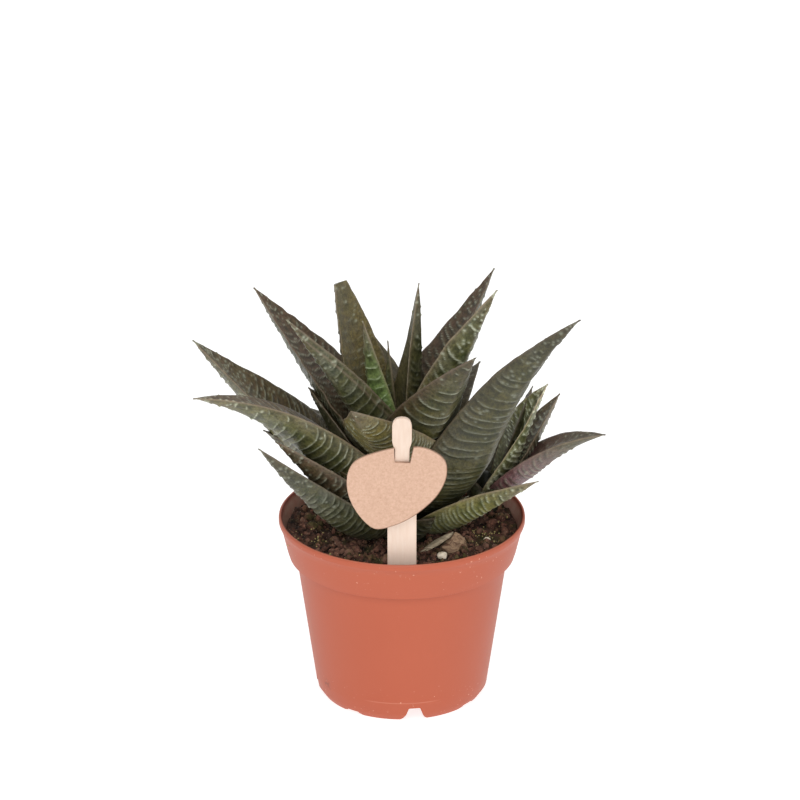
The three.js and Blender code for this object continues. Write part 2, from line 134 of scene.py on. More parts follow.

# What a leaf looks like unless its row says otherwise. "keel" and "channel" are how deep its
# underside and its hollow upper face are, as shares of its half width, "taper" is how blunt its
# point is (1 for straight edges, more for round ones), "cut" the share of its length that is left,
# and "coarse" how coarse its mesh is. "pitch" is the ridge spacing at the foot and at the tip,
# "bend" how far the ridges sag to the foot, "arc" where across the blade they sag most, "skew" how
# far they climb to one side, and "upper" how much of them shows on the upper face. The others are
# strengths from 0 up.
# The last look scales a leaf's whole colour: its own tone, with painted light on leaves that lie in shade and
# painted shade on brightly lit ones
LEAF_LOOKS = {
    "keel": 0.72, "channel": 0.2, "taper": 1.5, "cut": 1, "coarse": 1,
    "pitch": (2.2, 4.4), "bend": 0.35, "arc": 0, "skew": 0, "upper": 0.3,
    "wavy": 0.35, "dots": 0.6, "chalk": 0.8, "double": 0,
    "brown": 0.35, "rim": 0.35, "rust": 0, "purple": 0, "gold": 0.2, "bright": 0, "tone": 1,
}
LEAF_TINTS = ("brown", "rim", "rust", "purple", "gold", "bright", "tone")


def leaf_row(foot, tip, width, bow, roll=0, **looks):
    """Foot and tip of a leaf's midline, width, how far the midline bows up, roll, looks."""
    return {**LEAF_LOOKS, "foot": foot, "tip": tip, "width": width, "bow": bow, "roll": roll, **looks}


MAIN_LEAVES = [
    leaf_row((-2, 1, 98), (-5, 0, 138), 8, 0, tone=1.2),
    leaf_row((-2, -1, 98), (-14, -8, 149), 16, 0, brown=0, bright=1, chalk=1.2, pitch=(3, 5), rim=0.2,
             tone=1.4),
    leaf_row((-4, 2, 94), (6, 6, 158), 21, 2, -18, dots=0.3, chalk=0.4, tone=1.3),
    leaf_row((-5, 3, 94), (-25.5, 20, 164), 25, 3, cut=0.865, brown=0.4, gold=1.3, dots=0.3,
             tone=1.25),
    leaf_row((-5, 0, 97), (33.5, 18, 159), 31, 2, taper=1.15, brown=1.1, wavy=0.9, upper=1),
    leaf_row((-1, -1, 98), (34, -8, 161), 25, 5, -34, taper=1.3, wavy=0.7, bend=0.5, pitch=(2.6, 4.8),
             dots=1, chalk=1.2, tone=1.6),
    leaf_row((1, -1, 99), (-41, -26, 157), 24, 2, 25, taper=1, pitch=(2.8, 4.4), dots=0.8, double=1,
             chalk=0.55, rim=0.2, tone=1.1),
    leaf_row((-3, 1, 94), (-54, 24, 149), 30, 5, brown=1.1, wavy=1.1, dots=0.8, upper=1, tone=1.1),
    leaf_row((-1, -2, 94), (26, -42, 149), 34, 12, taper=1.3, bend=0.45, arc=-0.5, pitch=(3, 4.8),
             dots=0.3, chalk=1.2, rim=0.9, gold=0.5, tone=0.76),
    leaf_row((2, -4, 96), (-18, -48, 131), 36, 3, 7, keel=0.6, gold=1.3, pitch=(1.6, 2.4), dots=0,
             bend=0.8, arc=0.5, chalk=1, tone=1.15),
    leaf_row((-1, 3, 88), (-21, 48, 133), 28, 8, brown=0.5, coarse=HIDDEN),
    leaf_row((1, 3, 88), (23, 48, 124), 28, 8, brown=0.5, coarse=HIDDEN),
    leaf_row((7.8, -3.2, 74), (63, -36, 161), 34, 21.5, -24, keel=0.8, taper=1, gold=0.6,
             pitch=(2, 4.4), skew=0.8, dots=1, chalk=0.6, tone=0.6),
    leaf_row((-3, 0, 80), (-74.9, -14, 144), 37, -2, -14, brown=0.8, gold=0.6, dots=1.5, wavy=0.6,
             upper=1, tone=1.15),
    leaf_row((-3, -2, 79), (-74, -40, 132.4), 36, 26, 6, taper=1.25, brown=1, gold=0.3,
             pitch=(3.6, 4.8), upper=0.8, tone=1.4),
    leaf_row((-3, 0, 84), (-34, 4, 118), 28, 4, brown=0.9, coarse=HIDDEN),
    leaf_row((2, 2, 82), (29, 45, 111), 22, 8, brown=0.7, rust=0.5, coarse=HIDDEN),
    leaf_row((-2, 2, 76), (-44, 36, 99), 26, 10, brown=0.5, coarse=HIDDEN),
    leaf_row((0, 3, 74), (-3, 48, 98), 26, 10, brown=0.4, coarse=HIDDEN),
    leaf_row((-3, -1, 76), (-50, -12, 108), 26, 4, brown=0.8, rust=0.4, tone=0.8),
    leaf_row((-3, -2, 69), (-45, -36, 114), 28, 4, brown=1, rust=0.9, upper=0.8),
    leaf_row((-2, 2, 70), (-36, 38, 86), 24, 8, brown=0.4, coarse=HIDDEN),
    leaf_row((3, -5, 67), (24, -14.5, 83), 18, 1, keel=0.6, tone=1.3),
    leaf_row((4, -1, 67), (49, -28, 95), 22, 2, -20, gold=0.9, bright=0.15, pitch=(1.5, 2.8),
             dots=0.3, tone=1.45),
    leaf_row((-4, -5, 68.2), (-51, -40, 113), 27, -5, 6, pitch=(1.9, 3.8), dots=1.2, chalk=0.5,
             rim=0.15, tone=0.76),
]
OFFSET_LEAVES = [
    leaf_row((31, 16, 72), (47.7, 16, 113.4), 20, 3, tone=0.8),
    leaf_row((29.5, 14.5, 72), (53, 8, 117.5), 20, 10, 30, channel=0.4, dots=2.5, chalk=1.2,
             upper=0.8, brown=0.1, rim=0.1, tone=2.8),
    leaf_row((32, 16, 72), (58, 24, 107), 20, 4, rust=0.8, brown=0.8, chalk=1.6, pitch=(2, 3),
             upper=1, tone=1.4),
    leaf_row((32, 15.5, 73), (74, 0, 101), 22, 14, rust=0.45, purple=1, brown=0.8, chalk=0.5,
             pitch=(2.2, 3.4), tone=1.15),
    leaf_row((32, 17, 72), (50, 44, 96), 20, 8, brown=0.5, coarse=HIDDEN),
    leaf_row((31, 17, 72), (32, 44, 98), 18, 6, brown=0.5, coarse=HIDDEN),
]
MAIN_SHEATHS = {"count": 7, "first": 42, "foot": 66, "reach": 24, "rise": 11, "width": 19, "bow": 3}
OFFSET_SHEATHS = {"count": 5, "first": 228, "foot": 66, "reach": 9, "rise": 14, "width": 11, "bow": 2}

# Plant stick and label. Heights run along the stick from the soil.
STICK_Y = -36.5
STICK_LEAN = 7
STICK_WIDTH = 10.4
STICK_THICKNESS = 1.2
STICK_ROUNDING = 0.18
STICK_BURIED = 16
STICK_POINT = 6
STICK_TOP = 63.2
HEAD_WIDTH = 7
HEAD_FOOT = 54.1
HEAD_MIDDLE = 58.8
WAIST_WIDTH = 5.2
WAIST_HEIGHT = 44.6
NECK_TOP = 49.6
SHOULDER_HEIGHT = 37.5
STICK_SOIL_LEVEL = 64
# How dark the stick's cut edge is, from 0 to 1, and how far it fades into a board's faces
STICK_BURN = 0.06
EDGE_FADE = 0.4
LABEL_THICKNESS = 1
LABEL_ROUNDING = 0.15
LABEL_TILT = 7
LABEL_GAP = 0.4
LABEL_OUTLINE = [
    (-16.3, 46.2), (-8, 49.7), (2.5, 51.6), (9.9, 50.4), (15.2, 46.4), (16, 40.7), (12.8, 32.9),
    (4.5, 24.8), (-3, 20.8), (-9.6, 19.6), (-14.3, 23.5), (-18.5, 30.9), (-19.7, 37.5), (-18.8, 42.7),
]
LABEL_OUTLINE_STEPS = 140
SLIT_BOTTOM = WAIST_HEIGHT + 0.9
# How far the slit reaches to each side at its bottom, and how much wider it gets per mm of height
SLIT_LEFT = (2.45, 0.04)
SLIT_RIGHT = (2.9, 0.2)
# How dark the painted shade on the slit's right side is, and the palest that the label's burnt edge gets
# elsewhere
SLIT_SHADE = 0.7
PALEST_BURN = 0.1

# Loose pieces on the soil
# Corners of the bark chip: its front, its ridge, and its foot under the crumbs
CHIP_CORNERS = [
    (21.8, -22, 64.4), (16.5, -23.5, 65), (14.2, -22.5, 66.5), (15.9, -21, 68), (17.4, -22.4, 68.6),
    (19.5, -19, 71), (21.4, -18.5, 69.3), (22.9, -18.5, 68.1), (22.2, -20.6, 66.6), (20.2, -21.6, 68),
    (24.2, -17.6, 63.2), (22, -16, 64), (14, -16, 63.6), (13.6, -19.5, 63.3), (17, -23, 63.2),
]
CHIP_BEVEL = 0.12
SPLINTER = {"start": (7.2, -26, 66.2), "end": (18.6, -20.5, 71.2), "half_width": 1.7, "half_depth": 0.7}
# Groups of small yellow crumbs: middle, spread, count, largest size and height over the soil
GRAIN_GROUPS = [
    {"x": 30, "y": -8, "spread": 10, "count": 45, "size": 0.3, "lift": 0.9},
    {"x": 35.2, "y": 0.9, "spread": 1.5, "count": 3, "size": 0.45, "lift": 0.7},
    {"x": 38, "y": 5.5, "spread": 1.5, "count": 4, "size": 0.55, "lift": 0.7},
    {"x": -33, "y": -12, "spread": 9, "count": 18, "size": 0.35, "lift": 0.6},
    {"x": -22, "y": -27, "spread": 12, "count": 26, "size": 0.32, "lift": 0.6},
]
# Crumbs of soil keep off a grain of perlite by "clear" and their own size
PERLITE_GRAINS = [
    {"x": 14.6, "y": -28.6, "radius": 1.75, "lift": 0.4, "clear": 1.75, "seed": 20},
    {"x": 31, "y": -11.5, "radius": 1.2, "lift": -1, "clear": -1.5, "seed": 21},
]

# Colours, as linear red, green and blue
LEAF_DARK = (0.022, 0.034, 0.011)
LEAF_OLIVE = (0.083, 0.083, 0.036)
OFFSET_LEAF_OLIVE = (0.086, 0.089, 0.044)
LEAF_BLOOM = (0.103, 0.108, 0.074)
LEAF_GOLD = (0.130, 0.108, 0.030)
LEAF_BRIGHT = (0.135, 0.20, 0.06)
LEAF_BROWN = (0.094, 0.057, 0.033)
LEAF_WINE = (0.115, 0.050, 0.052)
LEAF_GROOVE_SHADE = (0.009, 0.013, 0.004)
LEAF_LINE = (0.24, 0.18, 0.125)
CREST_PALE = (0.37, 0.39, 0.29)
CREST_BRIGHT = (0.40, 0.52, 0.27)
POT_DEEP = (0.430, 0.093, 0.044)
POT_LIGHT = (0.462, 0.106, 0.052)
LIP_HIGHLIGHT = (0.74, 0.32, 0.22)
LIP_SHADE = (0.21, 0.045, 0.028)
POT_SPECK = (0.84, 0.52, 0.38)
POT_SCUFF = (0.14, 0.045, 0.03)
POT_DIRT = (0.56, 0.34, 0.27)
SOIL_DARK = (0.009, 0.0045, 0.003)
SOIL_BROWN = (0.28, 0.128, 0.085)
SOIL_DRY = (0.30, 0.160, 0.110)
SOIL_MOSS = (0.090, 0.098, 0.022)
SOIL_GLINT = (0.62, 0.56, 0.42)
WOOD_LIGHT = (0.84, 0.68, 0.57)
WOOD_GRAIN = (0.79, 0.61, 0.49)
WOOD_BURNT = (0.42, 0.22, 0.11)
KRAFT_LIGHT = (0.655, 0.435, 0.325)
KRAFT_FIBRE = (0.535, 0.335, 0.235)
KRAFT_SPECK = (0.48, 0.26, 0.16)
KRAFT_BURNT_AND_SHADE = (0.14, 0.06, 0.03)
BARK_LIGHT = (0.52, 0.35, 0.22)
BARK_DARK = (0.10, 0.052, 0.032)
SPLINTER_LIGHT = (0.46, 0.38, 0.27)
SPLINTER_DARK = (0.16, 0.12, 0.075)
PERLITE_DARK = (0.86, 0.68, 0.48)
PERLITE_LIGHT = (0.96, 0.9, 0.77)
CRUMB_DARK = (0.42, 0.34, 0.12)
CRUMB_YELLOW = (0.66, 0.57, 0.26)
PAPER = (0.5, 0.5, 0.5)

# Stage: a glowing paper floor, an even sky and lamps. The lamps' values are in metres and watts.
FLOOR_REACH = 4000
FLOOR_GLOW = 0.8
SKY_STRENGTH = 0.42
LAMP_AIM = (0, 0, 0.08)
LAMPS = {
    "key": {"place": (-0.2, -1.6, 1.5), "size": 0.9, "power": 12.5},
    "left": {"place": (-1.5, -0.7, 0.8), "size": 0.9, "power": 3.4},
    "right": {"place": (1.5, -0.8, 0.8), "size": 0.9, "power": 5.2},
    "front": {"place": (0.1, -1.9, 0.6), "size": 1.0, "power": 8},
    "back": {"place": (0.2, 1.3, 1.5), "size": 1.0, "power": 6},
}

# Camera, fitted to the photo's rim and foot ellipses. Target and distance are in metres.
IMAGE_SIZE = 800
CAMERA_TARGET = (-0.0007, 0, 0.1147)
CAMERA_ELEVATION = 23.2
CAMERA_DISTANCE = 2.0
CAMERA_PIXEL = 0.3627 * MM
SENSOR_WIDTH = 36

# Repeatable smooth noise from 0 to 1 over two coordinates
LATTICE = 64
lattice_values = np.random.default_rng(3).random((LATTICE, LATTICE))


def smooth_noise(x, y, seed=0):
    x = np.asarray(x) + 17.3 * seed
    y = np.asarray(y) + 9.7 * seed
    x0, y0 = np.floor(x).astype(int), np.floor(y).astype(int)
    fx, fy = x - x0, y - y0
    fx, fy = fx * fx * (3 - 2 * fx), fy * fy * (3 - 2 * fy)

    def corner(i, j):
        return lattice_values[(x0 + i) % LATTICE, (y0 + j) % LATTICE]

    low = corner(0, 0) * (1 - fx) + corner(1, 0) * fx
    high = corner(0, 1) * (1 - fx) + corner(1, 1) * fx
    return low * (1 - fy) + high * fy


def smoothstep(low, high, x):
    share = np.clip((x - low) / (high - low), 0, 1)
    return share * share * (3 - 2 * share)


def bell(x, width):
    return np.exp(-(x / width) ** 2)


# Mesh helpers
def plain_object(name, points, faces):
    """An object in the scene, with a mesh from points in millimetres."""
    mesh = bpy.data.meshes.new(name)
    mesh.from_pydata((np.asarray(points, float) * MM).tolist(), [], faces)
    piece = bpy.data.objects.new(name, mesh)
    scene.collection.objects.link(piece)
    return piece


def new_piece(name, points, faces, material, nodes, values=None, smooth=True):
    """A piece of the part, with one number per point for each named value."""
    piece = plain_object(name, points, faces)
    mesh = piece.data
    for key, numbers in (values or {}).items():
        attribute = mesh.attributes.new(key, "FLOAT", "POINT")
        attribute.data.foreach_set("value", np.asarray(numbers, np.float32).ravel())
    mesh.polygons.foreach_set("use_smooth", [smooth] * len(mesh.polygons))
    mesh.update()
    mesh.materials.append(material)
    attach(piece, "root")
    if nodes:
        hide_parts(*nodes)
    return piece


def closed_tube_faces(rows, columns):
    """Faces of a tube of rings, closed by fans to two centre points that come after the rings."""
    row = np.arange(rows - 1)[:, None] * columns
    column = np.arange(columns)[None, :]
    a, b = row + column, row + (column + 1) % columns
    faces = np.stack([a, b, b + columns, a + columns], -1).reshape(-1, 4).tolist()
    total = rows * columns
    first, last = list(range(columns)), list(range(total - columns, total))
    faces += [[total, after, corner] for corner, after in zip(first, first[1:] + first[:1])]
    faces += [[total + 1, corner, after] for corner, after in zip(last, last[1:] + last[:1])]
    return faces


def lathe(profile, segments, first_centre, last_centre):
    """Points, faces and per-point profile values of a closed turned shape."""
    angle = np.linspace(0, 2 * math.pi, segments, endpoint=False)
    rows = np.array(profile, float)
    x, y = np.outer(rows[:, 0], np.cos(angle)), np.outer(rows[:, 0], np.sin(angle))
    z = np.repeat(rows[:, 1:2], segments, axis=1)
    points = np.stack([x, y, z], -1).reshape(-1, 3)
    points = np.concatenate([points, [[0, 0, first_centre], [0, 0, last_centre]]])
    extra = [
        np.concatenate([np.repeat(rows[:, k], segments), rows[[0, -1], k]]) for k in range(2, rows.shape[1])
    ]
    return points, closed_tube_faces(len(rows), segments), extra


def mesh_parts(mesh):
    """Points and faces of a bmesh, which is freed."""
    mesh.verts.index_update()
    points = np.array([vertex.co[:] for vertex in mesh.verts])
    faces = [[vertex.index for vertex in face.verts] for face in mesh.faces]
    mesh.free()
    return points, faces


def join_lumps(lumps):
    """Points and faces of many lumps as one mesh."""
    points, faces, total = [], [], 0
    for body, sides in lumps:
        points.append(body)
        faces += [[corner + total for corner in side] for side in sides]
        total += len(body)
    return np.concatenate(points), faces


def tilt_matrix(degrees):
    """A turn about X, for rows of points to be multiplied by."""
    angle = math.radians(degrees)
    cosine, sine = math.cos(angle), math.sin(angle)
    return np.array([[1, 0, 0], [0, cosine, -sine], [0, sine, cosine]]).T


def bezier(points, steps):
    """Points of the Bezier curve with these control points, without the first one."""
    points, curve = np.array(points, float), []
    degree = len(points) - 1
    for t in np.linspace(0, 1, steps + 1)[1:]:
        weights = [math.comb(degree, k) * (1 - t) ** (degree - k) * t ** k for k in range(degree + 1)]
        curve.append(tuple(np.array(weights) @ points))
    return curve


def closed_spline(points, steps):
    """A smooth closed curve through points, with knots spaced by the root of their distance."""
    points, curve = np.array(points, float), []
    count = len(points)
    for step in range(steps):
        place = step * count / steps
        index, t = int(place), place - int(place)
        p0, p1, p2, p3 = (points[(index + k - 1) % count] for k in range(4))
        d0, d1, d2 = (math.sqrt(np.linalg.norm(b - a)) for a, b in ((p0, p1), (p1, p2), (p2, p3)))
        m1 = ((p1 - p0) / d0 - (p2 - p0) / (d0 + d1) + (p2 - p1) / d1) * d1
        m2 = ((p2 - p1) / d1 - (p3 - p1) / (d1 + d2) + (p3 - p2) / d2) * d1
        curve.append(tuple(
            (2 * t ** 3 - 3 * t ** 2 + 1) * p1 + (t ** 3 - 2 * t ** 2 + t) * m1
            + (3 * t ** 2 - 2 * t ** 3) * p2 + (t ** 3 - t ** 2) * m2))
    return curve


# Leaves
def width_share(from_tip, taper):
    near_tip = 1 - (1 - np.clip(from_tip / WIDEST_SHARE, 0, 1)) ** taper
    towards_foot = np.clip((from_tip - WIDEST_SHARE) / (1 - WIDEST_SHARE), 0, 1)
    return np.where(from_tip < WIDEST_SHARE, near_tip, 1 - BASE_NARROWING * towards_foot ** 2.5)


def unit(vectors):
    return vectors / np.maximum(np.linalg.norm(vectors, axis=-1, keepdims=True), 1e-12)


def leaf_frame(leaf, step):
    """Stations along the midline: how far along, distance, centre, side and above."""
    foot, tip = np.array(leaf["foot"], float), np.array(leaf["tip"], float)
    middle = foot + BOW_PLACE * (tip - foot) + leaf["bow"] * UP

    def point(t):
        t = t[:, None]
        return (1 - t) ** 2 * foot + 2 * t * (1 - t) * middle + t ** 2 * tip

    samples = np.linspace(0, leaf["cut"], 300)
    steps = np.linalg.norm(np.diff(point(samples), axis=0), axis=1)
    distances = np.concatenate([[0], np.cumsum(steps)])
    rows = int(distances[-1] / step) + 2
    distance = np.linspace(0, distances[-1], rows)
    along = np.interp(distance, distances, samples)
    t = along[:, None]
    forward = unit(2 * (1 - t) * (middle - foot) + 2 * t * (tip - middle))
    heading = unit(np.array([tip[0] - foot[0], tip[1] - foot[1], 0]))
    level = np.array([-heading[1], heading[0], 0])
    side = unit(level - (forward @ level)[:, None] * forward)
    above = np.cross(forward, side)
    twist = np.radians(leaf["roll"]) * np.minimum(1, ROLL_RATE * along)[:, None]
    rolled_side = side * np.cos(twist) + above * np.sin(twist)
    rolled_above = above * np.cos(twist) - side * np.sin(twist)
    return t, distance[:, None], point(along), rolled_side, rolled_above


def ridge_places(length, pitch, rng):
    """Distances of the ridges along a leaf, closer at its foot than at its tip. They start before
    the foot and end past the tip, because ridges that sag reach the blade from there."""
    places = [-45.0]
    while places[-1] < length + 12:
        share = np.clip(places[-1] / length, 0, 1)
        places.append(places[-1] + (pitch[0] + (pitch[1] - pitch[0]) * share) * rng.uniform(0.75, 1.25))
    return np.array(places)


def leaf_relief(leaf, distance, across, half, outer, seed):
    """Height of ridges and tubercles over the blade, their pale crests and the painted shade in the grooves
    before them.
    """
    length = distance[-1, 0]
    places = ridge_places(length, leaf["pitch"], np.random.default_rng(seed))
    lengthwise, crosswise = np.meshgrid(distance, across, indexing="ij")
    # Where each place lies between the ridges, which sag to the foot and waver
    sag = leaf["bend"] * np.abs(crosswise - leaf["arc"]) ** 1.8 + 0.25 * np.abs(crosswise) ** 8
    bent = lengthwise - half * (sag + leaf["skew"] * crosswise)
    bent = bent + 1.3 * (smooth_noise(lengthwise / 8, crosswise * 1.4, seed) - 0.5)
    bent = bent + 0.7 * (smooth_noise(lengthwise / 2.5, crosswise * 4, seed + 1) - 0.5)
    index = np.clip(np.searchsorted(places, bent, side="right") - 1, 0, len(places) - 2)
    gap = places[index + 1] - places[index]
    past, before = bent - places[index], places[index + 1] - bent
    # Ridges break up towards the tip
    breaking = smoothstep(0.4, 0.9, lengthwise / length)

    def strength(ridge):
        drawn = smooth_noise(ridge * 3.7, crosswise * (2.2 + 2 * breaking), seed + 2)
        return smoothstep(0.12 + 0.4 * breaking, 0.4 + 0.3 * breaking, drawn)

    from_margin = (1 - np.abs(crosswise)) * half
    share = np.where(outer, 1.0, leaf["upper"]) * smoothstep(0.2, 1.6, from_margin)
    here, ahead = share * strength(index), share * strength(index + 1)
    height = here * np.exp(-past / (RIDGE_FALL * gap)) + ahead * bell(before, RIDGE_STEP)
    line = np.maximum(here * bell(past, CREST_PAST), ahead * bell(before, CREST_BEFORE))
    # Crests are strings of pale beads
    strewn = crosswise * half / 1.3 + 2.5 * smooth_noise(lengthwise / 3, crosswise * 3, seed + 8)
    beads = smoothstep(0.25, 0.75, smooth_noise(lengthwise / 3 + index * 5.37, strewn, seed + 3))
    line = line * (0.45 + 0.75 * beads) * leaf["chalk"]
    # Painted shade in the groove just before the next ridge
    groove_shade = ahead * bell(before - GROOVE_SHADE_PLACE * gap, GROOVE_SHADE_WIDTH * gap)
    dots = tubercles(leaf, distance, across, half, outer, seed)
    size = np.minimum(1, half / 3)
    relief = RIDGE_HEIGHT * height * (0.7 + 0.5 * beads) + TUBERCLE_HEIGHT * dots
    return size * relief, np.maximum(line, 0.75 * dots), groove_shade


def tubercles(leaf, distance, across, half, outer, seed):
    """Small round bumps strewn over both faces, most of them towards the tip."""
    rng = np.random.default_rng(seed)
    length = distance[-1, 0]
    field = np.zeros((distance.size, across.size))
    for _ in range(int(length * half.max() * TUBERCLES_PER_AREA * leaf["dots"])):
        place = length * rng.random() ** 0.6
        spot = rng.uniform(-0.95, 0.95)
        on_outer = rng.random() < 0.5
        radius = rng.uniform(*TUBERCLE_RADII)
        rows = np.abs(distance[:, 0] - place) < 3 * radius
        if not rows.any():
            continue
        apart = (distance[rows] - place) ** 2 + ((across - spot) * half[rows]) ** 2
        bump = np.exp(-apart / radius ** 2) * (outer == on_outer)
        field[rows] = np.maximum(field[rows], bump)
    return field


def blade(leaf, distance, centre, side, above, half, seed):
    """The smooth blade: its points, where across each lies, and which face it is on."""
    columns = max(10, int(leaf["width"] / STEP_ACROSS / leaf["coarse"]))

    def spread(places):
        return 0.5 * places + 0.5 * np.sin(places * math.pi / 2)

    upper = spread(np.linspace(1, -1, columns // 2 + 1)[:-1])
    lower = spread(np.linspace(-1, 1, int(columns * 1.25) + 1)[:-1])
    across = np.concatenate([upper, lower])[None, :]
    outer = np.arange(across.size)[None, :] >= len(upper)

    def margin_line(offset):
        swell = 0.07 * (smooth_noise(distance / 5, offset, seed + 5) - 0.5) * half
        teeth = leaf["wavy"] * (smooth_noise(distance / 2.6, offset + 7, seed + 6) - 0.5)
        return half + swell + 1.3 * teeth * np.minimum(1, half / 5)

    reach = np.where(across > 0, margin_line(0), margin_line(3))
    size = np.abs(across)
    lip = MARGIN_THICKNESS / 2 * np.sqrt(1 - size ** 6) * np.minimum(1, half / 2)
    hollow = -leaf["channel"] * (1 - size ** 1.8) * half + lip
    belly = -leaf["keel"] * (1 - size ** 1.5) ** 0.95 * half - lip
    height = np.where(outer, belly, hollow)
    points = centre[:, None, :] + (across * reach)[..., None] * side[:, None, :]
    return points + height[..., None] * above[:, None, :], across, outer


def outward_normals(points, centre):
    around = np.roll(points, -1, axis=1) - np.roll(points, 1, axis=1)
    normal = unit(np.cross(around, np.gradient(points, axis=0)))
    return normal * np.sign(((points - centre[:, None, :]) * normal).sum(-1).mean())


def make_leaf(name, leaf, plant, seed):
    """A leaf as one closed tube. In its arrays, rows run along it and columns across it."""
    along, distance, centre, side, above = leaf_frame(leaf, STEP_ALONG * leaf["coarse"])
    half = np.maximum(TIP_HALF_WIDTH, leaf["width"] / 2 * width_share(1 - along, leaf["taper"]))
    points, across, outer = blade(leaf, distance, centre, side, above, half, seed)
    relief, crest, groove_shade = leaf_relief(leaf, distance, across, half, outer, seed)
    points = points + relief[..., None] * outward_normals(points, centre)
    everywhere = np.zeros(points.shape[:2])
    from_margin = (1 - np.abs(across)) * half
    double_line = leaf["double"] * bell(from_margin - DOUBLE_LINE_PLACE, MARGIN_LINE)
    grids = {
        "crest": crest,
        "groove_shade": groove_shade,
        "margin": bell(from_margin, MARGIN_LINE) + double_line,
        "spine": np.where(outer, bell(across * half, SPINE_LINE), 0),
        "band": np.abs(across) + everywhere,
        "inner": ~outer + everywhere,
        "along": along + everywhere,
    }
    values = {key: np.append(grid.ravel(), [grid[0].mean(), grid[-1].mean()]) for key, grid in grids.items()}
    vertices = np.concatenate([points.reshape(-1, 3), [points[0].mean(0), points[-1].mean(0)]])
    for key in LEAF_TINTS:
        values[key] = np.full(len(vertices), leaf[key])
    faces = closed_tube_faces(*points.shape[:2])
    new_piece(name, vertices, faces, plant["material"], [plant["node"]], values)


def sheaths(stem, ring):
    """Short old leaves in a ring round a stem."""
    leaves = []
    for index in range(ring["count"]):
        angle = math.radians(ring["first"] + 360 * index / ring["count"])

        def at(radius, height):
            return (stem["x"] + radius * math.cos(angle), stem["y"] + radius * math.sin(angle), height)

        foot = at(stem["radius"] * 0.3, ring["foot"])
        tip = at(ring["reach"], ring["foot"] + ring["rise"])
        leaves.append(leaf_row(foot, tip, ring["width"], ring["bow"], brown=0.5, tone=0.7, coarse=1.3))
    return leaves


def make_stem(name, stem, plant):
    radius, bottom, crown = stem["radius"], stem["bottom"], stem["crown"]
    profile = [
        (radius - 2, bottom), (radius, bottom + 3), (radius, SOIL_DISH_LEVEL + 3),
        (radius * 0.88, crown - 8), (radius * 0.72, crown), (radius * 0.3, crown + 3),
    ]
    points, faces, _ = lathe(profile, STEM_SEGMENTS, bottom, crown + 3.5)
    points += [stem["x"], stem["y"], 0]
    tints = np.full(len(points), 0.6)
    values = {"brown": tints, "tone": tints}
    new_piece(name, points, faces, plant["material"], [plant["node"]], values)


def make_plants():
    """Both rosettes: their stems, then their leaves, then the sheaths round the stems."""
    main = {"slot": "leaf", "node": "main_rosette"}
    main["material"] = leaf_material("haworthia_leaf", LEAF_OLIVE)
    offset = {"slot": "offset_leaf", "node": "offset_rosette"}
    offset["material"] = leaf_material("haworthia_offset_leaf", OFFSET_LEAF_OLIVE)
    make_stem("stem_main", MAIN_STEM, main)
    make_stem("stem_offset", OFFSET_STEM, offset)
    main_sheaths, offset_sheaths = sheaths(MAIN_STEM, MAIN_SHEATHS), sheaths(OFFSET_STEM, OFFSET_SHEATHS)
    groups = [
        ("leaf_main_{:02}", MAIN_LEAVES, main, 100), ("leaf_offset_{:02}", OFFSET_LEAVES, offset, 400),
        ("sheath_main_{}", main_sheaths, main, 600), ("sheath_offset_{}", offset_sheaths, offset, 700),
    ]
    for pattern, leaves, plant, first_seed in groups:
        for index, leaf in enumerate(leaves):
            make_leaf(pattern.format(index + 1), leaf, plant, first_seed + 7 * index)


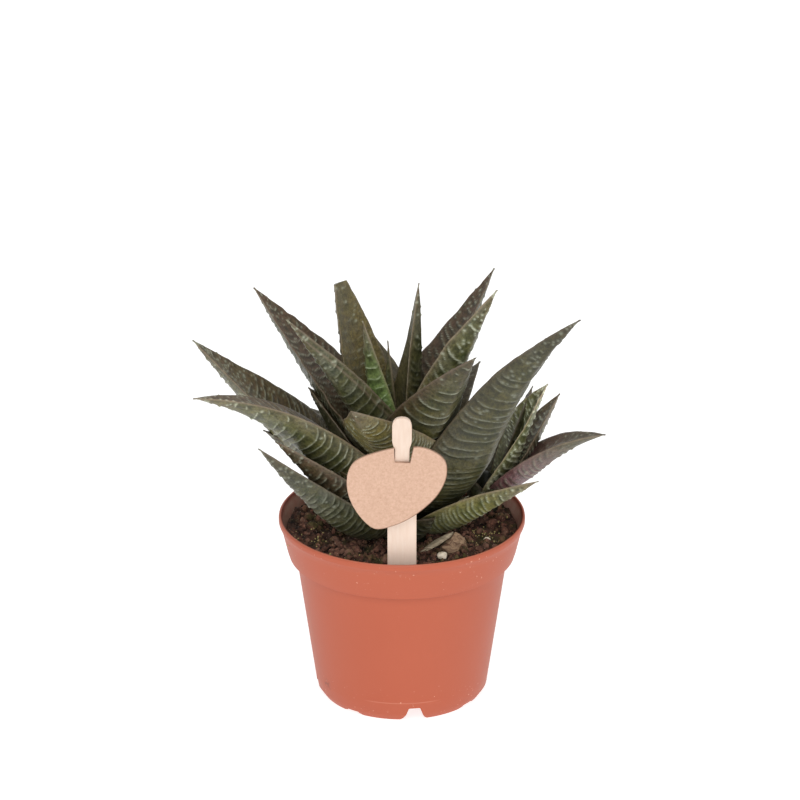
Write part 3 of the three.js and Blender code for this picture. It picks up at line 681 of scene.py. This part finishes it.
# Node materials
class Shader:
    """A material's node tree. Its colour is painted in layers, one over the other. A name may stand
    for a value of the piece wherever a method takes a value."""

    def __init__(self, name, colour, roughness, specular, **settings):
        self.material = bpy.data.materials.new(name)
        self.material.use_nodes = True
        self.tree = self.material.node_tree
        self.surface = self.tree.nodes["Principled BSDF"]
        self.surface.inputs["Roughness"].default_value = roughness
        self.surface.inputs["Specular IOR Level"].default_value = specular
        self.colour = colour
        for key, value in settings.items():
            self.surface.inputs[key.replace("_", " ")].default_value = value

    def add(self, kind, settings=None, **inputs):
        """A node with its settings. An input is given by its name, or by its number as i0, i1."""
        node = self.tree.nodes.new("ShaderNode" + kind)
        for key, value in (settings or {}).items():
            setattr(node, key, value)
        for key, value in inputs.items():
            socket = node.inputs[int(key[1:])] if key[0] == "i" and key[1:].isdigit() else node.inputs[key]
            self.set(socket, value)
        return node

    def set(self, socket, value):
        if isinstance(value, str):
            value = self.value(value)
        if isinstance(value, bpy.types.NodeSocket):
            self.tree.links.new(value, socket)
        elif isinstance(value, tuple) and len(value) == 3 and socket.type == "RGBA":
            socket.default_value = (*value, 1)
        else:
            socket.default_value = value

    def place(self):
        return self.add("TexCoord").outputs["Object"]

    def stretched(self, *scale):
        return self.add("Mapping", Vector=self.place(), Scale=scale).outputs[0]

    def height(self):
        return self.add("SeparateXYZ", Vector=self.place()).outputs[2]

    def value(self, name):
        return self.add("Attribute", {"attribute_name": name}).outputs["Fac"]

    def noise(self, scale, detail=3.0, roughness=0.5, vector=None, distortion=0.0):
        node = self.add(
            "TexNoise", Vector=vector or self.place(), Scale=scale, Detail=detail,
            Roughness=roughness, Distortion=distortion,
        )
        return node.outputs["Fac"]

    def patches(self, scale, detail, roughness, low, high, start=0.0, end=1.0):
        """Noise, with its stretch from low to high spread from start to end."""
        return self.ramp(self.noise(scale, detail, roughness), low, high, start, end)

    def math(self, operation, a, b=0.0, clamp=False):
        return self.add("Math", {"operation": operation, "use_clamp": clamp}, i0=a, i1=b).outputs[0]

    def times(self, a, b, clamp=False):
        return self.math("MULTIPLY", a, b, clamp)

    def largest(self, first, *others):
        for other in others:
            first = self.math("MAXIMUM", first, other)
        return first

    def ramp(self, factor, low, high, start=0.0, end=1.0):
        node = self.add("MapRange", i0=factor, i1=low, i2=high, i3=start, i4=end)
        node.clamp = True
        return node.outputs[0]

    def mix(self, factor, a, b, blend="MIX"):
        return self.add("Mix", {"data_type": "RGBA", "blend_type": blend}, i0=factor, i6=a, i7=b).outputs[2]

    def paint(self, factor, colour):
        self.colour = self.mix(factor, self.colour, colour)

    def shade(self, brightness):
        grey = self.add("CombineColor", i0=brightness, i1=brightness, i2=brightness).outputs[0]
        self.colour = self.mix(1.0, self.colour, grey, "MULTIPLY")

    def bump(self, height, distance, strength=1.0, normal=None):
        node = self.add("Bump", Height=height, Distance=distance, Strength=strength)
        if normal:
            self.set(node.inputs["Normal"], normal)
        return node.outputs["Normal"]

    def finish(self, normal=None, roughness=None):
        self.set(self.surface.inputs["Base Color"], self.colour)
        if normal:
            self.set(self.surface.inputs["Normal"], normal)
        if roughness:
            self.set(self.surface.inputs["Roughness"], roughness)
        return self.material


def paint_greens(shader, olive, along, bright):
    """Mottled green with a pale bloom, golden or bright green as the leaf's row says."""
    shader.paint(shader.patches(210, 5, 0.65, 0.38, 0.62), olive)
    shader.paint(shader.patches(120, 4, 0.6, 0.5, 0.66, 0, 0.8), LEAF_BLOOM)
    ochre = shader.times(shader.patches(170, 4, 0.6, 0.36, 0.6, 0.35, 1.0), shader.ramp(along, 1.15, 0.6))
    shader.paint(shader.times("gold", ochre, clamp=True), LEAF_GOLD)
    shader.paint(bright, LEAF_BRIGHT)


def paint_browns(shader, along, bright):
    """Brown towards the tip, on the margins and on the inner face, and wine-red at the foot."""
    tips = shader.ramp(along, 0.7, 1.0, 0, 0.7)
    sides = shader.times(shader.ramp("band", 0.6, 0.95), "rim")
    face = shader.times("inner", "brown")
    rust = shader.times("rust", shader.ramp(along, 0.3, 0.55, 0.2, 1.0))
    mottle = shader.patches(330, 4, 0.65, 0.3, 0.7, 0.45, 1.1)
    amount = shader.times(shader.largest(tips, sides, face, rust), mottle, clamp=True)
    dulled = shader.math("SUBTRACT", 1.0, shader.times(bright, 0.8))
    shader.paint(shader.times(amount, dulled), LEAF_BROWN)
    shader.paint(shader.times("purple", shader.ramp(along, 0.75, 0.3)), LEAF_WINE)


def paint_lines(shader, bright):
    """Fine flecks, painted shade in the grooves, thin lines on the margin and the keel, and pale crests."""
    shader.shade(shader.patches(800, 3, 0.7, 0.38, 0.62, 0.7, 1.35))
    # Painted shade in the grooves before the ridges
    shader.paint(shader.times("groove_shade", 0.55), LEAF_GROOVE_SHADE)
    line = shader.largest("margin", shader.times("spine", 0.35))
    shader.paint(shader.times(line, 0.45, clamp=True), LEAF_LINE)
    shader.paint(shader.math("MINIMUM", "crest", 1.0), shader.mix(bright, CREST_PALE, CREST_BRIGHT))


def leaf_material(name, olive):
    shader = Shader(name, LEAF_DARK, 0.4, 0.45)
    along = shader.value("along")
    bright = shader.times("bright", shader.ramp(along, 0.85, 0.5, 0.15, 1.0))
    paint_greens(shader, olive, along, bright)
    paint_browns(shader, along, bright)
    paint_lines(shader, bright)
    # Painted shade towards each leaf's foot, where the leaves crowd, times the leaf's tone with its painted
    # light
    shader.shade(shader.times("tone", shader.ramp(along, 0.02, 0.14, 0.4, 1.0)))
    normal = shader.bump(shader.noise(1400, 3, 0.6), 0.00025, 0.7)
    normal = shader.bump(shader.noise(450, 3, 0.6), 0.0006, 0.4, normal)
    return shader.finish(normal, shader.patches(400, 2, 0.5, 0.3, 0.7, 0.32, 0.5))


def pot_material():
    shader = Shader("pot_plastic", POT_DEEP, 0.48, 0.35)
    shader.paint(shader.noise(30, 3), POT_LIGHT)
    # Painted highlight on the lip's top and along the mould line, painted shade on the lip's inner edge
    shader.paint(shader.times("lip", 0.6, clamp=True), LIP_HIGHLIGHT)
    shader.paint(shader.times("lip", -0.85, clamp=True), LIP_SHADE)
    # Dust: pale specks in patches on the collar and the foot
    height = shader.height()
    collar = shader.ramp(height, SHOULDER * MM, (SHOULDER + 6) * MM)
    foot = shader.ramp(height, 16 * MM, 6 * MM)
    where = shader.times(shader.largest(collar, foot, 0.04), shader.patches(70, 2, 0.5, 0.3, 0.6, 0.3, 1.0))
    shader.paint(shader.times(shader.patches(950, 2, 0.7, 0.70, 0.735), where), POT_SPECK)
    # Dark scuffs on the foot, and one grazed spot
    scuffs = shader.times(shader.patches(420, 4, 0.7, 0.69, 0.74), foot)
    spot = tuple(POT_GRAZE[axis] * MM for axis in "xyz")
    away = shader.add("VectorMath", {"operation": "DISTANCE"}, i0=shader.place(), i1=spot).outputs["Value"]
    near = shader.ramp(away, POT_GRAZE["reach"] * MM, POT_GRAZE["core"] * MM)
    graze = shader.times(shader.patches(900, 4, 0.7, 0.45, 0.55), near)
    shader.paint(shader.largest(shader.times(scuffs, 0.7), graze), POT_SCUFF)
    shader.paint(shader.times("inside", shader.patches(300, 4, 0.7, 0.3, 0.6, 0.6, 1.0)), POT_DIRT)
    return shader.finish(shader.bump(shader.noise(900, 3), 0.00005, 0.4))


def soil_material(name, moss, shade):
    shader = Shader(name, SOIL_DARK, 0.8, 0.3)
    shader.paint(shader.patches(350, 6, 0.7, 0.38, 0.62), SOIL_BROWN)
    shader.paint(shader.ramp("tint", 0.55, 1.0, 0.0, 0.8), SOIL_DRY)
    shader.paint(shader.patches(130, 5, 0.65, 0.50, 0.62, 0.0, 0.75 * moss), SOIL_MOSS)
    # Darker by shade: painted shade for the soil under the crumbs, none for the crumbs
    shader.shade(shade)
    shader.paint(shader.patches(1900, 2, 0.6, 0.68, 0.72), SOIL_GLINT)
    return shader.finish(shader.bump(shader.noise(900, 6, 0.8), 0.0006, 0.9))


def wood_material():
    shader = Shader("stick_wood", WOOD_LIGHT, 0.62, 0.3)
    grain = shader.noise(900, 5, 0.6, shader.stretched(1, 1, 0.05), 0.4)
    shader.paint(shader.ramp(grain, 0.3, 0.7), WOOD_GRAIN)
    # Painted light just above the soil and painted shade in the head, evening out how the lamps fall on the
    # stick
    height = shader.height()
    low = shader.ramp(height, SOIL_EDGE_LEVEL * MM, 76 * MM, 1.14, 1.0)
    shader.shade(shader.times(low, shader.ramp(height, 100 * MM, 118 * MM, 1.0, 0.9)))
    shader.paint(shader.times("cut", 0.8), WOOD_BURNT)
    return shader.finish(shader.bump(grain, 0.00008, 0.5))


def kraft_material():
    shader = Shader("label_kraft", KRAFT_LIGHT, 0.75, 0.25)
    fibre = shader.noise(1100, 5, 0.7)
    shader.paint(shader.ramp(fibre, 0.32, 0.68), KRAFT_FIBRE)
    shader.paint(shader.patches(1600, 3, 0.6, 0.62, 0.72, 0.0, 0.55), KRAFT_SPECK)
    # The cut edge: burnt, with painted shade at the lower right and on the slit's right side
    shader.paint(shader.times("cut", 0.9), KRAFT_BURNT_AND_SHADE)
    return shader.finish(shader.bump(fibre, 0.00006, 0.5))


def bark_material(name, light, dark):
    shader = Shader(name, light, 0.85, 0.25)
    grain = shader.noise(700, 6, 0.7, shader.stretched(0.3, 1, 1), 1.0)
    shader.paint(shader.ramp(grain, 0.36, 0.64), dark)
    return shader.finish(shader.bump(grain, 0.0005, 0.9))


def grain_material(name, dark, light):
    shader = Shader(name, dark, 0.8, 0.3)
    shader.paint(shader.noise(1200, 4, 0.7), light)
    return shader.finish(shader.bump(shader.noise(2500, 4, 0.8), 0.0002, 0.8))


# Pot
def body_radius(height):
    return FOOT_RADIUS + 1 + (BODY_TOP_RADIUS - FOOT_RADIUS - 1) * height / SHOULDER


def steps_from(radius, height, steps):
    """Points of a profile, by their steps from a corner."""
    return [(radius + out, height + up) for out, up in steps]


def pot_profile():
    """Outside up, over the lip and down the inside: (radius, height, inside, lip). Lip holds painted light: a
    highlight on the lip's top and the mould line, and shade on the lip's inner edge.
    """
    outside = [(body_radius(FLOOR_UNDERSIDE) - FOOT_RING_WIDTH, FLOOR_UNDERSIDE)]
    outside += steps_from(FOOT_RADIUS, 0, [
        (-FOOT_RING_WIDTH, 0.2), (-2.4, 0), (-1.1, 0), (-0.5, 0.15), (0, 0.9),
    ])
    near_line = (MOULD_LINE_HEIGHT - MOULD_LINE_HALF, MOULD_LINE_HEIGHT, MOULD_LINE_HEIGHT + MOULD_LINE_HALF)
    outside += [(body_radius(z), z) for z in (3, *near_line, *np.linspace(12, SHOULDER - 2, 8))]
    outside += steps_from(BODY_TOP_RADIUS, SHOULDER, [(0, -1), (0.15, -0.5), (0.6, -0.2), (1.5, -0.05)])
    outside += steps_from(COLLAR_FOOT_RADIUS, SHOULDER, [(-0.3, 0), (-0.08, 0.15), (0.05, 0.6)])
    collar = np.linspace(0.15, 0.8, 5)[:, None] * [RIM_RADIUS - COLLAR_FOOT_RADIUS, COLLAR_HEIGHT]
    outside += steps_from(COLLAR_FOOT_RADIUS + 0.05, SHOULDER, collar)
    rim = steps_from(RIM_RADIUS, POT_HEIGHT, [
        (-0.15, -2.6), (0.08, -2.0), (0.1, -0.9), (0, -0.3), (-0.2, -0.06), (-0.45, 0), (-0.8, -0.06),
        (-1.1, -0.4), (-1.4, -2.2),
    ])
    inside = steps_from(RIM_RADIUS, POT_HEIGHT, [(-2.2, -5), (-3.3, -9)])
    inside += [(COLLAR_FOOT_RADIUS - WALL - 0.3, SHOULDER + 0.2), (BODY_TOP_RADIUS - WALL, SHOULDER - 1.6)]
    inside.append((body_radius(30) - WALL, 30))
    inside += steps_from(body_radius(FLOOR_TOP) - WALL, FLOOR_TOP, [(-0.4, 1.6), (-2, 0)])
    rows = [(r, z, 0, float(z == MOULD_LINE_HEIGHT)) for r, z in outside]
    rows += [(r, z, float(r < RIM_RADIUS - SHADED_EDGE[1]), lip_light_and_shade(r, z)) for r, z in rim]
    return rows + [(r, z, 1, 0) for r, z in inside]


def lip_light_and_shade(radius, height):
    """Above 0 for the painted highlight on the lip's top, below 0 for the painted shade on its inner edge."""
    if SHADED_EDGE[0] < RIM_RADIUS - radius < SHADED_EDGE[1]:
        return -1.0
    return 0.45 if height > POT_HEIGHT - 0.1 else 0.0


def cut_away(piece, cutters):
    """Takes the cutter meshes out of a piece."""
    for cutter in cutters:
        modifier = piece.modifiers.new("cut", "BOOLEAN")
        modifier.operation, modifier.object, modifier.solver = "DIFFERENCE", cutter, "EXACT"
    bpy.context.view_layer.update()
    graph = bpy.context.evaluated_depsgraph_get()
    mesh = bpy.data.meshes.new_from_object(piece.evaluated_get(graph))
    piece.modifiers.clear()
    piece.data = mesh
    for cutter in cutters:
        bpy.data.objects.remove(cutter)


def notch_outline(high, top_width):
    side, top, corner = NOTCH_MOUTH_WIDTH / 2, top_width / 2, min(NOTCH_CORNER, high / 2)
    flare = [(side, 0), (side - NOTCH_FLARE, high / 18), (top + 0.9, high / 2), (top, high - corner)]
    turn = [(top, high - corner), (top, high), (top - corner, high)]
    right = [(side, -1), (side, 0)] + bezier(flare, 8) + bezier(turn, 4)
    return right + [(-x, z) for x, z in reversed(right)]


def bar(name, first, last):
    """A closed bar from one ring of points to another."""
    count = len(first)
    faces = [list(range(count)), list(range(2 * count - 1, count - 1, -1))]
    faces += [[i, i + count, (i + 1) % count + count, (i + 1) % count] for i in range(count)]
    return plain_object(name, np.concatenate([first, last]), faces)


def notch_cutter(name, outline, degrees):
    """A bar with a notch's outline through the foot's wall, turned about the pot's axis."""
    cosine, sine = math.cos(math.radians(degrees)), math.sin(math.radians(degrees))
    turn = np.array([[cosine, sine, 0], [-sine, cosine, 0], [0, 0, 1]])
    rings = [np.array([(x, -FOOT_RADIUS + y, z) for x, z in outline]) @ turn for y in (-3, 5)]
    return bar(name, *rings)


def drain_cutter(name, degrees):
    """A round bar through the floor, for one drain hole."""
    turn = math.radians(degrees)
    x, y = DRAIN_CIRCLE_RADIUS * math.cos(turn), DRAIN_CIRCLE_RADIUS * math.sin(turn)
    angle = np.linspace(0, 2 * math.pi, DRAIN_SEGMENTS, endpoint=False)
    circle = [x + DRAIN_RADIUS * np.cos(angle), y + DRAIN_RADIUS * np.sin(angle)]
    rings = [np.stack([*circle, np.full(DRAIN_SEGMENTS, FLOOR_UNDERSIDE + z)], -1) for z in (4, -2)]
    return bar(name, *rings)


def make_pot():
    points, faces, (inside, lip) = lathe(pot_profile(), POT_SEGMENTS, FLOOR_UNDERSIDE, FLOOR_TOP)
    # The mould line is a slight ridge with a painted highlight along it; both fade out to both sides
    on_body = points[:, 2] < SHOULDER
    shown = smoothstep(MOULD_LINE_FADE[1], MOULD_LINE_FADE[0], np.abs(points[:, 0]))
    lip = np.where(on_body, 0.6 * lip * shown, lip)
    points[:, :2] *= 1 + np.where(on_body, 0.15 * lip, 0)[:, None] / FOOT_RADIUS
    values = {"inside": inside, "lip": lip}
    pot = new_piece("pot_fine", points, faces, pot_material(), ["pot"], values)
    # Deep and shallow notches take turns round the foot, with a drain hole inside each
    outlines = [
        notch_outline(NOTCH_HEIGHT, NOTCH_TOP_WIDTH),
        notch_outline(SHALLOW_NOTCH_HEIGHT, SHALLOW_NOTCH_TOP_WIDTH),
    ]
    cutters = []
    for index in range(NOTCH_COUNT):
        angle = FIRST_NOTCH_ANGLE + index * 360 / NOTCH_COUNT
        cutters.append(notch_cutter(f"notch_{index}", outlines[index % 2], angle + 90))
        cutters.append(drain_cutter(f"drain_{index}", angle))
    cut_away(pot, cutters)
    pot.data.set_sharp_from_angle(angle=math.radians(38))


# Soil
def soil_level(radius):
    share = smoothstep(DISH_INNER_RADIUS, DISH_OUTER_RADIUS, radius)
    return SOIL_DISH_LEVEL + (SOIL_EDGE_LEVEL - SOIL_DISH_LEVEL) * share


def soil_height(x, y):
    """Height of the soil's rough surface at a place."""
    swell = 1.4 * (smooth_noise(x / 6, y / 6, 31) - 0.5)
    clods = 2.0 * (smooth_noise(x / 2.4, y / 2.4, 32) - 0.5)
    grain = 0.8 * (smooth_noise(x / 0.8, y / 0.8, 33) - 0.5)
    return soil_level(np.hypot(x, y)) + swell + clods + grain


def make_soil():
    bottom = FLOOR_TOP + SOIL_TO_FLOOR
    wall = [
        (body_radius(FLOOR_TOP) - WALL - 3, bottom), (body_radius(FLOOR_TOP) - WALL - 1, bottom + 2),
        (BODY_TOP_RADIUS - WALL - 0.55, SHOULDER - 1.6),
        (COLLAR_FOOT_RADIUS - WALL - 0.95, SHOULDER + 0.8), (SOIL_TOP_RADIUS, SOIL_EDGE_LEVEL - 1.2),
    ]
    top = [(r, soil_level(r)) for r in np.linspace(SOIL_TOP_RADIUS - 0.5, 1.0, SOIL_RINGS)]
    points, faces, _ = lathe(wall + top, SOIL_SEGMENTS, bottom, SOIL_DISH_LEVEL)
    on_top = np.arange(len(points)) >= len(wall) * SOIL_SEGMENTS
    on_top[-2] = False
    points[on_top, 2] = soil_height(points[on_top, 0], points[on_top, 1])
    tint = smooth_noise(points[:, 0] / 1.5, points[:, 1] / 1.5, 35)
    # The soil under the crumbs is darkened by half: painted shade in the gaps between the crumbs
    material = soil_material("soil_base", 1.0, 0.5)
    new_piece("soil_fine", points, faces, material, ["soil"], {"tint": tint})


def lump(size, rng, subdivisions, roughness):
    """Points and faces of a rough pebble round the origin."""
    mesh = bmesh.new()
    bmesh.ops.create_icosphere(mesh, subdivisions=subdivisions, radius=1)
    ball, faces = mesh_parts(mesh)
    shift = Vector(rng.uniform(-9, 9, 3))
    points = []
    for corner in ball:
        swell = noise.noise(Vector(corner) * 1.3 + shift) + 0.5 * (rng.random() - 0.5)
        points.append(corner * (1 + roughness * swell) * size)
    return np.array(points), faces


def spin(rng):
    """A random rotation matrix."""
    matrix, _ = np.linalg.qr(rng.normal(size=(3, 3)))
    return matrix * np.sign(np.linalg.det(matrix))


def is_taken(x, y, size):
    """Whether a crumb of that size would lie on a grain of perlite or in front of the stick."""
    on_grain = any(
        math.hypot(x - grain["x"], y - grain["y"]) < grain["clear"] + size for grain in PERLITE_GRAINS
    )
    return on_grain or (abs(x) < STICK_WIDTH / 2 + size and y < STICK_Y + 1)


def make_crumbs():
    """Loose crumbs of soil, strewn over the surface and joined in one mesh."""
    rng = np.random.default_rng(CRUMB_SEED)
    lumps, tints = [], []
    for _ in range(CRUMB_COUNT):
        long = min(rng.lognormal(CRUMB_LOG_SIZE, CRUMB_LOG_SPREAD), LARGEST_CRUMB)
        radius = (SOIL_TOP_RADIUS - 0.9 - long) * math.sqrt(rng.uniform(0.05, 1))
        angle = rng.uniform(0, 2 * math.pi)
        x, y = radius * math.cos(angle), radius * math.sin(angle)
        if is_taken(x, y, long):
            continue
        size = long * np.array([1, rng.uniform(0.6, 1), rng.uniform(0.45, 0.9)])
        body, sides = lump(size * 0.75, rng, 2, 0.4)
        body = body @ spin(rng) + [x, y, soil_height(x, y) + 0.25 * long]
        lumps.append((body, sides))
        tints.append(np.full(len(body), rng.random() ** 1.5))
    points, faces = join_lumps(lumps)
    material = soil_material("soil_crumb", 0.8, 1.0)
    new_piece("soil_crumbs", points, faces, material, [], {"tint": np.concatenate(tints)}, False)


# Stick and label
def place_on_stick(points):
    """From the stick's own frame, where z = 0 is the soil, to its place."""
    return np.asarray(points) @ tilt_matrix(STICK_LEAN) + [0, STICK_Y, STICK_SOIL_LEVEL]


def stick_outline():
    half, head, waist = STICK_WIDTH / 2, HEAD_WIDTH / 2, WAIST_WIDTH / 2
    right = [(0, -STICK_BURIED), (half, STICK_POINT - STICK_BURIED)]
    right += [(half, z) for z in np.linspace(0, SHOULDER_HEIGHT, 12)]
    right += bezier([(half, SHOULDER_HEIGHT), (half, WAIST_HEIGHT - 2), (waist, WAIST_HEIGHT)], 12)
    neck, bulge = waist + 0.1, NECK_TOP + 2
    right += bezier([(neck, NECK_TOP), (neck, bulge), (head, bulge), (head, HEAD_FOOT)], 14)
    right.append((head, HEAD_MIDDLE))
    right += bezier([(head, HEAD_MIDDLE), (head, STICK_TOP - 1), (head * 0.6, STICK_TOP), (0, STICK_TOP)], 14)
    return right + [(-x, z) for x, z in reversed(right[1:-1])]


def label_outline():
    """The label's outline with the slit for the stick's neck cut down from its top edge."""
    curve = closed_spline(LABEL_OUTLINE, LABEL_OUTLINE_STEPS)

    def reach(side, z):
        return side[0] + side[1] * (z - SLIT_BOTTOM)

    in_slit = [z > SLIT_BOTTOM and -reach(SLIT_LEFT, z) < x < reach(SLIT_RIGHT, z) for x, z in curve]
    start = next(k for k in range(len(curve)) if in_slit[k] and not in_slit[k - 1])
    ordered = curve[start:] + curve[:start]
    kept = [point for point, gone in zip(ordered, in_slit[start:] + in_slit[:start]) if not gone]
    right_top, left_top = kept[0], kept[-1]
    left = (-reach(SLIT_LEFT, left_top[1]), left_top[1] + 0.2)
    right = (reach(SLIT_RIGHT, right_top[1]), right_top[1] - 0.05)
    return kept + [left, (-SLIT_LEFT[0], SLIT_BOTTOM), (SLIT_RIGHT[0], SLIT_BOTTOM), right]


def board(name, outline, thickness, rounding, edge_darkness, move, material, node):
    """A flat board of an outline in the XZ plane, front face at y = 0, with rounded edges. The function after
    rounding gives how dark the cut edge is at a place on the outline, from its burn and on the label from
    painted shade too, and move takes points to their place."""
    mesh = bmesh.new()
    face = mesh.faces.new([mesh.verts.new((x, 0, z)) for x, z in outline])
    bmesh.ops.recalc_face_normals(mesh, faces=[face])
    grown = bmesh.ops.extrude_face_region(mesh, geom=[face])
    for item in grown["geom"]:
        if isinstance(item, bmesh.types.BMVert):
            item.co.y = thickness
    bmesh.ops.recalc_face_normals(mesh, faces=mesh.faces)
    rim = [edge for edge in mesh.edges if abs(edge.verts[0].co.y - edge.verts[1].co.y) < 1e-6]
    bmesh.ops.bevel(mesh, geom=rim, offset=rounding, segments=2, affect="EDGES", clamp_overlap=True)
    flats = [f for f in mesh.faces if len(f.verts) > 8]
    bmesh.ops.inset_region(mesh, faces=flats, thickness=EDGE_FADE)
    plain = {vertex for f in flats for vertex in f.verts}
    cut = [0.0 if vertex in plain else edge_darkness(vertex.co.x, vertex.co.z) for vertex in mesh.verts]
    bmesh.ops.triangulate(mesh, faces=[f for f in mesh.faces if len(f.verts) > 4])
    points, faces = mesh_parts(mesh)
    piece = new_piece(name, move(points), faces, material, [node], {"cut": cut})
    piece.data.set_sharp_from_angle(angle=math.radians(50))


def stick_burn(x, z):
    return STICK_BURN


def label_burn_and_shade(x, z):
    """How dark the label's cut edge is: a burnt edge, with painted shade that makes it darkest at the lower
    right and on the slit's right side, and pale on the left of the slit.
    """
    if z > SLIT_BOTTOM - 1 and -5 < x < 5:
        return SLIT_SHADE if x > SLIT_RIGHT[0] - 0.2 else 0.0
    lower_right = (x - 0.9 * (z - 36)) / 22
    return float(np.clip(0.3 + 1.1 * lower_right, PALEST_BURN, 1))


def move_label(points):
    moved = (points - [0, 0, WAIST_HEIGHT]) @ tilt_matrix(-LABEL_TILT)
    return place_on_stick(moved + [0, -LABEL_THICKNESS - LABEL_GAP, WAIST_HEIGHT])


def make_label():
    board("label_stick_fine", stick_outline(), STICK_THICKNESS, STICK_ROUNDING, stick_burn,
          place_on_stick, wood_material(), "label_stick")
    board("label_plate_fine", label_outline(), LABEL_THICKNESS, LABEL_ROUNDING, label_burn_and_shade,
          move_label, kraft_material(), "label_plate")


# Loose pieces
def make_chip():
    """An angular chip of bark."""
    mesh = bmesh.new()
    for corner in CHIP_CORNERS:
        mesh.verts.new(corner)
    hull = bmesh.ops.convex_hull(mesh, input=mesh.verts)
    left_over = hull["geom_interior"] + hull["geom_unused"]
    inside = {item for item in left_over if isinstance(item, bmesh.types.BMVert)}
    bmesh.ops.delete(mesh, geom=list(inside), context="VERTS")
    bmesh.ops.bevel(
        mesh, geom=mesh.edges[:], offset=CHIP_BEVEL, segments=1, affect="EDGES", clamp_overlap=True)
    bmesh.ops.triangulate(mesh, faces=mesh.faces)
    points, faces = mesh_parts(mesh)
    material = bark_material("bark", BARK_LIGHT, BARK_DARK)
    new_piece("bark_chip_fine", points, faces, material, ["bark_chip"], None, False)


def make_splinter():
    """A long splinter that leans on the chip."""
    start, end = (np.array(SPLINTER[key], float) for key in ("start", "end"))
    length = np.linalg.norm(end - start)
    axis = unit(end - start)
    across = unit(np.cross(axis, UP))
    size = np.array([length / 2, SPLINTER["half_width"], SPLINTER["half_depth"]])
    points, faces = lump(size, np.random.default_rng(SPLINTER_SEED), 4, 0.25)
    points = points @ np.array([axis, across, np.cross(across, axis)]) + (start + end) / 2
    material = bark_material("splinter", SPLINTER_LIGHT, SPLINTER_DARK)
    new_piece("bark_splinter", points, faces, material, [])


def make_perlite():
    material = grain_material("perlite", PERLITE_DARK, PERLITE_LIGHT)
    for number, grain in enumerate(PERLITE_GRAINS, 1):
        rng = np.random.default_rng(grain["seed"])
        points, faces = lump(np.full(3, grain["radius"]) * [1, 1, 0.8], rng, 3, 0.3)
        level = soil_height(grain["x"], grain["y"])
        points += [grain["x"], grain["y"], level - points[:, 2].min() + grain["lift"]]
        new_piece(f"perlite_fine_{number}", points, faces, material, [f"perlite_grain_{number}"])


def make_yellow_crumbs():
    rng = np.random.default_rng(YELLOW_CRUMB_SEED)
    lumps = []
    for group in GRAIN_GROUPS:
        for _ in range(group["count"]):
            x, y = np.array([group["x"], group["y"]]) + rng.normal(0, group["spread"] / 2, 2)
            body, sides = lump(np.full(3, group["size"]) * rng.uniform(0.4, 1, 3), rng, 2, 0.4)
            lumps.append((body + [x, y, soil_height(x, y) + group["lift"]], sides))
    points, faces = join_lumps(lumps)
    material = grain_material("crumb_pale", CRUMB_DARK, CRUMB_YELLOW)
    new_piece("soil_pale_crumbs", points, faces, material, [])


# Stage
def make_stage():
    corners = [(-FLOOR_REACH, -FLOOR_REACH, 0), (FLOOR_REACH, -FLOOR_REACH, 0),
               (FLOOR_REACH, FLOOR_REACH, 0), (-FLOOR_REACH, FLOOR_REACH, 0)]
    floor = plain_object("floor", corners, [[0, 1, 2, 3]])
    glow = {"Emission_Color": (1, 1, 1, 1), "Emission_Strength": FLOOR_GLOW}
    floor.data.materials.append(Shader("floor_paper", PAPER, 0.9, 0.1, **glow).finish())
    world = scene.world or bpy.data.worlds.new("studio")
    scene.world = world
    world.use_nodes = True
    sky = world.node_tree.nodes["Background"]
    sky.inputs["Color"].default_value = (1.0, 1.0, 1.0, 1)
    sky.inputs["Strength"].default_value = SKY_STRENGTH
    for name, lamp in LAMPS.items():
        add_lamp(name, **lamp)


def add_lamp(name, place, size, power):
    light = bpy.data.lights.new(name, "AREA")
    light.size, light.energy = size, power
    lamp = bpy.data.objects.new(name, light)
    lamp.location = place
    lamp.rotation_euler = (Vector(LAMP_AIM) - Vector(place)).to_track_quat("-Z", "Y").to_euler()
    lamp.visible_camera = False
    scene.collection.objects.link(lamp)


def make_camera():
    data = bpy.data.cameras.new("camera")
    data.sensor_width = SENSOR_WIDTH
    data.lens = SENSOR_WIDTH * CAMERA_DISTANCE / (IMAGE_SIZE * CAMERA_PIXEL)
    data.clip_start, data.clip_end = 0.05, 20
    camera = bpy.data.objects.new("camera", data)
    elevation = math.radians(CAMERA_ELEVATION)
    back = Vector((0, -math.cos(elevation), math.sin(elevation)))
    camera.location = Vector(CAMERA_TARGET) + back * CAMERA_DISTANCE
    camera.rotation_euler = (-back).to_track_quat("-Z", "Y").to_euler()
    scene.collection.objects.link(camera)
    scene.camera = camera


scene.view_settings.view_transform = "Standard"
make_camera()
make_stage()
make_pot()
make_soil()
make_crumbs()
make_plants()
make_label()
make_chip()
make_splinter()
make_perlite()
make_yellow_crumbs()
